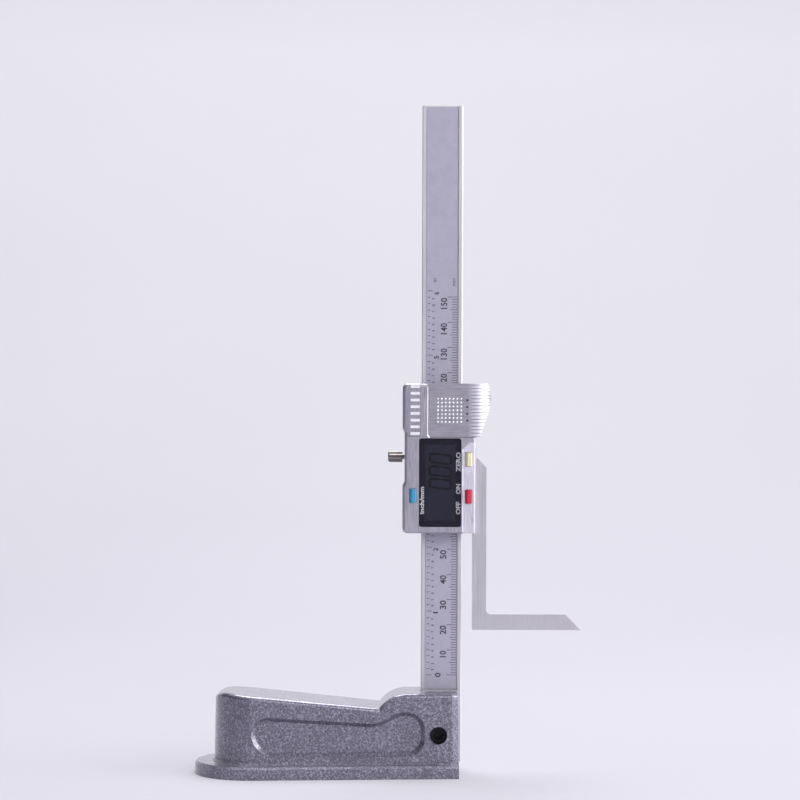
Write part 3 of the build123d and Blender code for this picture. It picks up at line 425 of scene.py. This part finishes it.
# %% Recipe for small pieces
def plain(name, dark, light, roughness, metallic=0.0, coat=0.0, specular=0.5, grain=0.4,
          bump_depth=0.01):
    """A moulded, plated or blackened surface; grain and bump_depth are in millimetres."""
    material, tree, shader, coords = new_material(name)
    specks = noise(tree, coords, grain * MM, 3.0).outputs["Fac"]
    fill(tree, shader,
         Base_Color=ramp(tree, specks, (0.3, dark), (0.75, light)),
         Roughness=remap(tree, specks, 0.0, 1.0, roughness - 0.04, roughness + 0.05),
         Normal=bump(tree, specks, 0.2, bump_depth * MM),
         Metallic=metallic, Specular_IOR_Level=specular, Coat_Weight=coat)
    return material


print("recipe ready")

# %% Metal pieces
dress(plain("dark_nickel_plate", "#6E6867", "#8F8A89", 0.3, metallic=1.0), "lock_screw")
dress(plain("nickel_plate", "#A9A7A8", "#C4C2C3", 0.25, metallic=1.0),
      "case_screws", "gib_screws", "coin_cell", "battery_spring", "battery_clip")
dress(plain("black_oxide", "#17161A", "#26252B", 0.4, metallic=0.6), "clamp_screw")
dress(plain("rolled_brass", "#A98A4C", "#C2A262", 0.35, metallic=1.0), "gib_strip")
dress(plain("gold_plate", "#C89B45", "#DDB35B", 0.2, metallic=1.0), "port_contacts")
print("metal pieces dressed")

# %% Boards, rubber and keys
KEY_ROUNDING = 0.15 * MM
dress(plain("glass_epoxy", "#2E4A27", "#3A5A31", 0.35, coat=0.4), "sensor_board", "scale_strip")
dress(plain("black_epoxy", "#0B0B0C", "#151517", 0.3), "chip_cover")
dress(plain("silicone_rubber", "#3A3A3D", "#48484B", 0.65), "zebra_strips", "key_pads")
for name, dark, light, roughness, key in (
    ("yellow_abs", "#D6CEA6", "#E2DBB9", 0.35, "zero_button"),
    ("red_abs", "#BB2A43", "#CB374D", 0.32, "power_button"),
    ("blue_abs", "#3A87AE", "#4896BE", 0.32, "unit_button"),
):
    dress(plain(name, dark, light, roughness, coat=0.2), key, soften=KEY_ROUNDING)
print("boards, rubber and keys dressed")

# %% [markdown]
# ## The scale's film
#
# The scale is printed on a satin silver film that lies in the beam's channel. Its surface is
# smoother than the steel beside it, with only faint clouds, so it takes the plain recipe with
# a coarse grain and hardly any bump.

# %% Film
dress(plain("satin_film", "#A5A3B2", "#AEABB9", 0.45, metallic=0.35, grain=3.0, bump_depth=0.003),
      "scale_label")
print("film on the beam")

# %% [markdown]
# ## Printing the scale
#
# A printed line is a flat layer of ink, far thinner than paper. Each is modelled as a slim
# block that stands two hundredths of a millimetre off the film, which gives clean edges at
# any zoom. The marks come from the rule of the scale itself: one each millimetre, longer at
# 5 and 10, and on the other side one each tenth of an inch.

# %% Ink and block helpers
INK = 0.02 * MM
black_ink = plain("black_ink", "#2A2833", "#383641", 0.5)
white_ink = plain("white_ink", "#EFEFF4", "#FAFAFC", 0.5)
BLOCK_FACES = (
    (0, 1, 3, 2), (4, 6, 7, 5), (0, 4, 5, 1), (2, 3, 7, 6), (0, 2, 6, 4), (1, 5, 7, 3),
)


def add_block(mesh, low, high):
    """Adds an upright block to a bmesh, from its lowest to its highest corner."""
    corners = [mesh.verts.new((x, y, z))
               for x in (low[0], high[0]) for y in (low[1], high[1]) for z in (low[2], high[2])]
    for face in BLOCK_FACES:
        mesh.faces.new([corners[i] for i in face])


def as_piece(name, mesh, material, body):
    """Turns a bmesh into a piece that rides on a body."""
    data = bpy.data.meshes.new(name)
    mesh.to_mesh(data)
    mesh.free()
    data.materials.append(material)
    piece = bpy.data.objects.new(name, data)
    bpy.context.scene.collection.objects.link(piece)
    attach(piece, body)


print("ink layer", INK / MM, "mm thick")

# %% Graduations
INCH = 25.4 * MM
SCALE_ZERO = 39.0 * MM
MM_MARKS, TENTH_MARKS = 150, 60
LINE = 0.22 * MM
TEN_START, FIVE_START, ONE_START = 2.15 * MM, 3.27 * MM, 3.87 * MM
INCH_START, INCH_END, TENTH_END = -5.75 * MM, -3.63 * MM, -4.62 * MM
FILM_MARGIN = 0.02 * MM
marks = bmesh.new()


def mark(x0, x1, height):
    add_block(marks, (x0, film_face - INK, height - LINE / 2), (x1, film_face, height + LINE / 2))


for step in range(MM_MARKS + 1):
    start = TEN_START if step % 10 == 0 else FIVE_START if step % 5 == 0 else ONE_START
    mark(start, label_high.x - FILM_MARGIN, SCALE_ZERO + step * MM)
for step in range(TENTH_MARKS + 1):
    end = INCH_END if step % 10 == 0 else TENTH_END
    mark(INCH_START, end, SCALE_ZERO + step * INCH / 10)
as_piece("scale_marks", marks, black_ink, "base")
print("marks:", MM_MARKS + TENTH_MARKS + 2)

# %% [markdown]
# ## Numbers
#
# The numbers read from the bottom to the top, so a text is turned a quarter. A text object
# brings the letter shapes. It is made a mesh, measured, and scaled to the height and the
# length that the print has.

# %% Lettering
UPWARD = Matrix(((0, -1, 0), (0, 0, -1), (1, 0, 0)))     # text runs up, its top to the left


def corner(mesh, pick):
    """The lowest or highest corner of a mesh's box; pick is min or max."""
    return Vector([pick(v.co[i] for v in mesh.vertices) for i in range(3)])


def letters(words, height, length, weight):
    """A text's mesh from the origin on, scaled to a height and a length."""
    curve = bpy.data.curves.new(words, "FONT")
    curve.body = words
    curve.extrude = 0.5
    curve.offset = weight
    curve.resolution_u = 3
    holder = bpy.data.objects.new(words, curve)
    bpy.context.scene.collection.objects.link(holder)
    bpy.context.view_layer.update()
    graph = bpy.context.evaluated_depsgraph_get()
    mesh = bpy.data.meshes.new_from_object(holder.evaluated_get(graph))
    bpy.data.objects.remove(holder)
    low = corner(mesh, min)
    size = corner(mesh, max) - low
    mesh.transform(Matrix.Translation(-low))
    mesh.transform(Matrix.Diagonal((length / size.x, height / size.y, INK / size.z, 1)))
    return mesh


def print_up(batch, words, right, top, height, length, face, weight):
    """Prints words that run upward; they end at top, and their feet are at right."""
    mesh = letters(words, height, length, weight)
    run = corner(mesh, max).x
    mesh.transform(Matrix.Translation((right, face, top - run)) @ UPWARD.to_4x4())
    batch.from_mesh(mesh)
    bpy.data.meshes.remove(mesh)


print("lettering ready")

# %% Numbers
ONE_SHARE = 0.5             # a figure 1 is half as wide as the others
# for each row: where its feet are, how far it ends under its mark, height, a digit's run, weight
MM_ROW = (1.99 * MM, 0.35 * MM, 2.55 * MM, 1.75 * MM, 0.02)
INCH_ROW = (-1.3 * MM, 0.3 * MM, 1.9 * MM, 1.2 * MM, 0.02)
TENTH_ROW = (-2.95 * MM, 0.25 * MM, 1.0 * MM, 0.65 * MM, 0.01)
UNITS_TOP = 196.4 * MM
numbers = bmesh.new()


def number(value, mark_height, row):
    """Prints a number under its mark, in the style of its row."""
    right, under, height, digit_run, weight = row
    words = str(value)
    length = digit_run * (len(words) - (1 - ONE_SHARE) * words.count("1"))
    print_up(numbers, words, right, mark_height - under, height, length, film_face, weight)


for tens in range(1, MM_MARKS // 10 + 1):
    number(tens * 10, SCALE_ZERO + tens * 10 * MM, MM_ROW)
for inch in range(1, TENTH_MARKS // 10 + 1):
    number(inch, SCALE_ZERO + inch * INCH, INCH_ROW)
for tenth in range(1, TENTH_MARKS + 1):
    if tenth % 10:
        number(tenth % 10, SCALE_ZERO + tenth * INCH / 10, TENTH_ROW)
for words, right, top, height, length, weight in (
    ("0", -0.1 * MM, SCALE_ZERO + 0.85 * MM, 2.3 * MM, 1.7 * MM, 0.02),
    ("in", -2.4 * MM, UNITS_TOP, 1.2 * MM, 1.5 * MM, 0.0),
    ("mm", 5.2 * MM, UNITS_TOP, 1.0 * MM, 3.0 * MM, 0.0),
):
    print_up(numbers, words, right, top, height, length, film_face, weight)
as_piece("scale_numbers", numbers, black_ink, "base")
print("numbers printed")

# %% [markdown]
# ## Grip dots
#
# The battery cover carries a square field of small round dots for the thumb. The tool that
# moulded them was pecked by a ball-nosed cutter, so each is a low dome. Their crowns are
# painted brighter than the satin face round them, a painted highlight.

# %% Dots
DOT_COUNT = 7
DOT_PITCH = 1.52 * MM
DOT_RADIUS = 0.44 * MM
DOT_HEIGHT = 0.25 * MM
DOT_RINGS, DOT_SIDES = 3, 12
COVER_LAND = 0.6 * MM       # the cover's edge under the case
DOTS_INSET = 8.15 * MM      # from the visible edge to the middle of the field


def add_dome(mesh, x, z):
    """A low dome on the cover's face."""
    rows = []
    for ring in range(DOT_RINGS):
        angle = math.pi / 2 * ring / DOT_RINGS
        r, out = DOT_RADIUS * math.cos(angle), DOT_HEIGHT * math.sin(angle)
        turns = [2 * math.pi * side / DOT_SIDES for side in range(DOT_SIDES)]
        rows.append([mesh.verts.new((x + r * math.cos(t), cover_face - out, z + r * math.sin(t)))
                     for t in turns])
    crown = mesh.verts.new((x, cover_face - DOT_HEIGHT, z))
    for side in range(DOT_SIDES):
        after = (side + 1) % DOT_SIDES
        for low, high in zip(rows, rows[1:]):
            mesh.faces.new((low[side], low[after], high[after], high[side])).smooth = True
        mesh.faces.new((rows[-1][side], rows[-1][after], crown)).smooth = True


dots_x = cover_low.x + COVER_LAND + DOTS_INSET
dots_z = (cover_low.z + cover_high.z) / 2
offsets = [(place - (DOT_COUNT - 1) / 2) * DOT_PITCH for place in range(DOT_COUNT)]
dots = bmesh.new()
for across in offsets:
    for up in offsets:
        add_dome(dots, dots_x + across, dots_z + up)
# painted highlight: a pale silver for the dots' crowns and the edge's bright line
highlight_silver = plain("highlight_silver", "#E8E7EC", "#F8F7FA", 0.3, metallic=0.9)
as_piece("cover_dots", dots, highlight_silver, "battery_cover")
print("dots:", DOT_COUNT ** 2)

# %% [markdown]
# ## A painted edge highlight
#
# The case's edge beside the battery cover is where a thumb slides off. It is a low lip whose
# slope is painted as a fine bright line, a painted highlight, and it turns with the recess's corner
# at its lower end.
# A narrow section swept along that line keeps it sharp.

# %% Edge highlight
EDGE_WIDTH = 0.36 * MM
EDGE_HEIGHT = 0.14 * MM
CREST_SHARE = 0.8           # where on its width the lip is highest
EDGE_OUTSET = 0.15 * MM     # from the cover's visible edge
EDGE_TOP_GAP = 1.2 * MM
CORNER_RADIUS = 1.35 * MM
CORNER_STEPS, CORNER_STEP = 7, 10        # the arc's points, and degrees between them
edge_x = cover_low.x + COVER_LAND - EDGE_OUTSET
edge_foot, edge_top = cover_low.z - EDGE_OUTSET, cover_high.z - EDGE_TOP_GAP
centre = Vector((edge_x + CORNER_RADIUS, edge_foot + CORNER_RADIUS))
path = [(Vector((edge_x, edge_top)), Vector((-1, 0)))]
for step in range(CORNER_STEPS):
    angle = math.radians(180 + CORNER_STEP * step)
    out = Vector((math.cos(angle), math.sin(angle)))
    path.append((centre + out * CORNER_RADIUS, out))
edge = bmesh.new()
rows = []
for point, out in path:
    crest = point + out * EDGE_WIDTH * CREST_SHARE
    outer = point + out * EDGE_WIDTH
    rows.append([edge.verts.new(v) for v in (
        (point.x, case_face + INK, point.y), (point.x, case_face - INK, point.y),
        (crest.x, case_face - EDGE_HEIGHT, crest.y), (outer.x, case_face + INK, outer.y))])
for before, after in zip(rows, rows[1:]):
    for i in range(3):
        edge.faces.new((before[i], before[i + 1], after[i + 1], after[i]))
# the edge's bright line is a painted highlight in pale silver
as_piece("painted_edge_highlight", edge, highlight_silver, "slider")
print("worn edge in", len(rows), "sections")

# %% [markdown]
# ## The clamp screw's thread
#
# The tapped hole for the clamp screw shows its thread in front of the screw. A thread is a
# ridge wound as a helix, so a triangular section is swept round the hole at the thread's
# pitch.

# %% Thread
PITCH = 1.25 * MM
RIDGE = 0.42 * MM
RIDGE_HALF = 0.45           # half the ridge's foot, as a share of the pitch
STEPS = 28                  # in one turn
TURNS = 1.8
screw_low, screw_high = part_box("clamp_screw")
hole_radius = (screw_high.x - screw_low.x) / 2
hole_x, hole_z = (screw_low.x + screw_high.x) / 2, (screw_low.z + screw_high.z) / 2
section_points = ((hole_radius, -RIDGE_HALF), (hole_radius - RIDGE, 0.0), (hole_radius, RIDGE_HALF))
thread = bmesh.new()
sections = []
for step in range(int(TURNS * STEPS) + 1):
    angle = 2 * math.pi * step / STEPS
    y = screw_low.y - PITCH * (RIDGE_HALF + step / STEPS)
    sections.append([thread.verts.new((hole_x + radius * math.cos(angle), y + shift * PITCH,
                                       hole_z + radius * math.sin(angle)))
                     for radius, shift in section_points])
for before, after in zip(sections, sections[1:]):
    for i in range(2):
        thread.faces.new((before[i], before[i + 1], after[i + 1], after[i])).smooth = True
cut_iron = plain("cut_iron", "#4A494F", "#6A686F", 0.3, metallic=0.9)
as_piece("hole_thread", thread, cut_iron, "base")
print("thread turns:", TURNS)

# %% [markdown]
# ## The window
#
# The lens is a flat plate of clear acrylic with a black print on its back that leaves a
# window for the display. The legends are white, in the same print. Acrylic bends light a
# little less than glass, with an index of 1.49.

# %% Lens and display glass
def clear_acrylic():
    material, tree, shader, coords = new_material("clear_acrylic")
    smears = noise(tree, coords, 5 * MM, 3.0).outputs["Fac"]
    fill(tree, shader,
         Base_Color=srgb("#F4F4F8"),
         Roughness=remap(tree, smears, 0.0, 1.0, 0.03, 0.1),
         Transmission_Weight=1.0, IOR=1.49)
    return material


dress(clear_acrylic(), "display_window")
dress(plain("display_polariser", "#2C2B40", "#323148", 0.6, specular=0.15), "lcd_panel")
print("lens and display glass dressed")

# %% Mask
BORDER = 2.3 * MM
RIM = 0.1 * MM              # bare lens round the mask
LENS_SKIN = 0.03 * MM       # the print lies this far inside the lens's back
print_face = window_high.y - LENS_SKIN
x0, x1 = window_low.x + RIM, window_high.x - RIM
z0, z1 = window_low.z + RIM, window_high.z - RIM
mask = bmesh.new()
for low, high in (
    ((x0, z0), (x0 + BORDER, z1)),
    ((x1 - BORDER, z0), (x1, z1)),
    ((x0 + BORDER, z0), (x1 - BORDER, z0 + BORDER)),
    ((x0 + BORDER, z1 - BORDER), (x1 - BORDER, z1)),
):
    add_block(mask, (low[0], print_face, low[1]), (high[0], print_face + INK, high[1]))
black_print = plain("black_print", "#242334", "#29283A", 0.6, specular=0.15)
as_piece("window_mask", mask, black_print, "slider")
print("mask border", BORDER / MM, "mm")

# %% Legends
LEGEND_WEIGHT = 0.045
RIGHT_FEET, LEFT_FEET = 7.35, -7.0
legends = bmesh.new()
# words, where their feet are, top over the slider's edge, height and length, in millimetres
for words, right, top, height, length in (
    ("ZERO", RIGHT_FEET, 32.0, 1.9, 7.8),
    ("ON", RIGHT_FEET, 19.5, 1.9, 4.0),
    ("OFF", RIGHT_FEET, 12.5, 1.9, 5.0),
    ("inch/mm", LEFT_FEET, 18.4, 1.75, 10.8),
):
    print_up(legends, words, right * MM, slider_z + top * MM, height * MM, length * MM,
             print_face, LEGEND_WEIGHT)
as_piece("window_legends", legends, white_ink, "slider")
print("legends printed")

# %% [markdown]
# ## The display's digits
#
# A liquid crystal digit is made of bars with mitred ends, and a zero shows six of them. Each
# bar is a hexagon. They are only a shade darker than the glass, because the display carries
# no light of its own.

# %% Bars
BAR = 0.95 * MM
BAR_GAP = 0.08              # between two bars, as a share of their width
LEAN = math.tan(math.radians(6))         # the digits lean to the right


def bar(batch, start, end, place):
    """One hexagonal bar from start to end, in the digit's own plane."""
    run = (end - start).normalized()
    side = Vector((-run.y, run.x)) * BAR / 2
    tip = run * BAR / 2
    gap = run * BAR * BAR_GAP
    outline = [start + gap, start + tip + gap + side, end - tip - gap + side,
               end - gap, end - tip - gap - side, start + tip + gap - side]
    back, front = ([batch.verts.new(place @ Vector((p.x + LEAN * p.y, p.y, depth)))
                    for p in outline] for depth in (0, INK))
    batch.faces.new(front)
    batch.faces.new(back[::-1])
    for i in range(len(outline)):
        j = (i + 1) % len(outline)
        batch.faces.new((back[i], back[j], front[j], front[i]))


print("a bar is", BAR / MM, "mm wide")

# %% Digits
DIGITS = 3
w, h = 3.5 * MM, 8.4 * MM                # a digit's width and height
DIGIT_PITCH = 4.9 * MM
DIGIT_FOOT = 3.6 * MM                    # right of the beam's middle
FIRST_DIGIT = 17.3 * MM                  # over the slider's lower edge
ZERO_BARS = (
    ((0, h), (w, h)), ((w, h / 2), (w, h)), ((w, 0), (w, h / 2)),
    ((0, 0), (w, 0)), ((0, 0), (0, h / 2)), ((0, h / 2), (0, h)),
)
digit_start = slider_z + FIRST_DIGIT
digits = bmesh.new()
for count in range(DIGITS):
    place = Matrix.Translation((DIGIT_FOOT, lcd_face, digit_start + count * DIGIT_PITCH))
    for start, end in ZERO_BARS:
        bar(digits, Vector(start), Vector(end), place @ UPWARD.to_4x4())
print("digits:", DIGITS)

# %% Decimal point
POINT_HALF_WIDTH, POINT_HALF_HEIGHT = 0.4 * MM, 0.35 * MM
POINT_SETBACK = 0.75 * MM                # before the second digit
point_z = digit_start + DIGIT_PITCH - POINT_SETBACK
add_block(digits,
          (DIGIT_FOOT - POINT_HALF_WIDTH, lcd_face - INK, point_z - POINT_HALF_HEIGHT),
          (DIGIT_FOOT + POINT_HALF_WIDTH, lcd_face, point_z + POINT_HALF_HEIGHT))
liquid_crystal = plain("liquid_crystal", "#0B0A16", "#0E0D1A", 0.6, specular=0.1)
as_piece("display_digits", digits, liquid_crystal, "slider")
print("decimal point", round((point_z - slider_z) / MM, 1), "mm over the slider's lower edge")

# %% [markdown]
# ## Camera
#
# A long lens from about a metre away keeps the beam's edges nearly parallel. The camera
# stands a little left of the beam and looks slightly down.

# %% Camera
CAMERA_DISTANCE = 1100 * MM
CAMERA_SIDE = -16.6 * MM
CAMERA_HEIGHT = 175.9 * MM
LOOK_DOWN = 1.444           # degrees
ROLL = 0.18                 # degrees
FOCAL_LENGTH, SENSOR_WIDTH = 125, 36     # millimetres, as on a camera
camera_data = bpy.data.cameras.new("camera")
camera_data.lens = FOCAL_LENGTH
camera_data.sensor_width = SENSOR_WIDTH
camera_data.clip_start, camera_data.clip_end = 0.05, 20  # metres
camera = bpy.data.objects.new("camera", camera_data)
bpy.context.scene.collection.objects.link(camera)
tilt = Matrix.Rotation(math.radians(90 - LOOK_DOWN), 4, "X")
roll = Matrix.Rotation(math.radians(ROLL), 4, "Z")
beam_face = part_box("beam")[0].y
place = Matrix.Translation((CAMERA_SIDE, beam_face - CAMERA_DISTANCE, CAMERA_HEIGHT))
camera.matrix_world = place @ tilt @ roll
bpy.context.scene.camera = camera
print("camera at", [round(c / MM) for c in camera.location], "mm")

# %% [markdown]
# ## Floor and backdrop
#
# One pale sheet is floor and backdrop, curved where they meet so that no horizon shows. Its
# colour is partly its own for the eye and for reflections, and partly the light that falls
# on it, which keeps the soft shadow under the foot.

# %% Paper
GLOW = 0.5                  # share of its own colour that the eye and reflections see
BLOTCH = 1 / 3              # metres
PALE_FROM = 0.45            # metres over the floor, where the paper is at its palest


def pale_paper():
    material, tree, shader, coords = new_material("pale_paper")
    height = add(tree, "ShaderNodeSeparateXYZ", Vector=coords).outputs["Z"]
    blotches = noise(tree, coords, BLOTCH, 1.0).outputs["Fac"]
    rise = remap(tree, height, 0.0, PALE_FROM)
    tone = calc(tree, "MULTIPLY_ADD", blotches, 0.1, rise)
    colour = ramp(tree, tone, (0.0, "#C1C0C8"), (1.0, "#F3F2F6"))
    fill(tree, shader, Base_Color=colour, Roughness=0.9, Specular_IOR_Level=0.1)
    glow = add(tree, "ShaderNodeEmission", Color=colour, Strength=1.0)
    rays = add(tree, "ShaderNodeLightPath")
    seen = calc(tree, "MAXIMUM", rays.outputs["Is Camera Ray"], rays.outputs["Is Glossy Ray"])
    seen = calc(tree, "MAXIMUM", seen, rays.outputs["Is Transmission Ray"])
    share = calc(tree, "MULTIPLY", seen, GLOW)
    both = add(tree, "ShaderNodeMixShader", Fac=share, i1=shader.outputs["BSDF"],
               i2=glow.outputs["Emission"])
    output = next(node for node in tree.nodes if node.type == "OUTPUT_MATERIAL")
    fill(tree, output, Surface=both.outputs["Shader"])
    return material


paper = pale_paper()
print("paper glows by", GLOW)

# %% Backdrop
HALF_WIDTH, FRONT, BACK, BEND, TOP = 3.0, -1.2, 0.35, 1.5, 3.2     # metres
BEND_STEP = 5               # degrees
profile = [(FRONT, 0.0), (BACK, 0.0)]
for degrees in range(BEND_STEP, 91, BEND_STEP):
    angle = math.radians(degrees)
    profile.append((BACK + BEND * math.sin(angle), BEND - BEND * math.cos(angle)))
profile.append((BACK + BEND, TOP))
sweep = bmesh.new()
rows = [[sweep.verts.new((x, y, z)) for x in (-HALF_WIDTH, HALF_WIDTH)] for y, z in profile]
for lower, upper in zip(rows, rows[1:]):
    sweep.faces.new((lower[0], lower[1], upper[1], upper[0])).smooth = True
data = bpy.data.meshes.new("backdrop")
sweep.to_mesh(data)
sweep.free()
data.materials.append(paper)
backdrop = bpy.data.objects.new("backdrop", data)
bpy.context.scene.collection.objects.link(backdrop)
backdrop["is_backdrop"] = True
print("backdrop", len(profile), "rows")

# %% [markdown]
# ## Light
#
# Three softboxes light the gauge from the right, from above and from the front. Brushed metal
# mostly shows what it mirrors, so their size and place matter more than their power. The
# right one stands close to the floor. Its spread is narrowed, as a grid on a softbox does,
# so that the paper beside it stays below white.

# %% Softboxes
AIM = (0, 0, 0.12)
# name, place and size in metres, watts, tint, spread in degrees
SOFTBOXES = (
    ("right_softbox", (1.15, -0.3, 0.52), (1.2, 0.9), 8.6, "#FFFDFF", 120),
    ("top_softbox", (0.0, 0.32, 1.05), (0.8, 0.7), 15, "#FCFBFF", 180),
    ("front_softbox", (0.98, -1.95, 1.02), (1.95, 0.9), 22.5, "#FDFCFF", 180),
)
for name, place, size, power, tint, spread in SOFTBOXES:
    light = bpy.data.lights.new(name, "AREA")
    light.shape = "RECTANGLE"
    light.size, light.size_y = size
    light.energy = power
    light.color = srgb(tint)[:3]
    light.spread = math.radians(spread)
    lamp = bpy.data.objects.new(name, light)
    lamp.location = place
    lamp.rotation_euler = (Vector(AIM) - Vector(place)).to_track_quat("-Z", "Y").to_euler()
    bpy.context.scene.collection.objects.link(lamp)
print("softboxes:", len(SOFTBOXES))

# %% [markdown]
# ## The studio around
#
# The sky gives the fill light and what the metal mirrors beyond the paper. It is bright at
# the upper right, towards the main softbox, and dark at the lower left, which models the
# round forms. The camera itself sees only a pale tone there.

# %% Sky
BRIGHT_SIDE = (0.8, 0.2, 0.6)            # the direction from which most of it comes
SKY_REACH = 0.8             # how far off that direction the tones spread
FILL = 0.7
world = bpy.data.worlds.new("studio")
bpy.context.scene.world = world
world.use_nodes = True
tree = world.node_tree
tree.nodes.clear()
direction = add(tree, "ShaderNodeTexCoord").outputs["Generated"]
towards = add(tree, "ShaderNodeVectorMath", {"operation": "DOT_PRODUCT"}, i0=direction,
              i1=BRIGHT_SIDE).outputs["Value"]
share = remap(tree, towards, -SKY_REACH, SKY_REACH)
sky = ramp(tree, share, (0.0, "#4C4A58"), (0.375, "#9694A4"), (1.0, "#EEECF5"))
fill_light = add(tree, "ShaderNodeBackground", Color=sky, Strength=FILL)
beyond = add(tree, "ShaderNodeBackground", Color=srgb("#E2E1EA"), Strength=1.0)
rays = add(tree, "ShaderNodeLightPath")
mixed = add(tree, "ShaderNodeMixShader", Fac=rays.outputs["Is Camera Ray"],
            i1=fill_light.outputs["Background"], i2=beyond.outputs["Background"])
add(tree, "ShaderNodeOutputWorld", Surface=mixed.outputs["Shader"])
bpy.context.scene.view_settings.view_transform = "Standard"
print("fill light:", FILL)

# %% [markdown]
# ## Sizes and finish
#
# The last cell prints how much the dressed model's box has grown over the rigid model's box
# along each axis, in millimetres, which shows whether the prints stand outside it.

# %% Finish
low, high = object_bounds()
grown = [round((high[i] - low[i] - cad_high[i] + cad_low[i]) / MM, 3) for i in range(3)]
print("grown by mm:", grown)
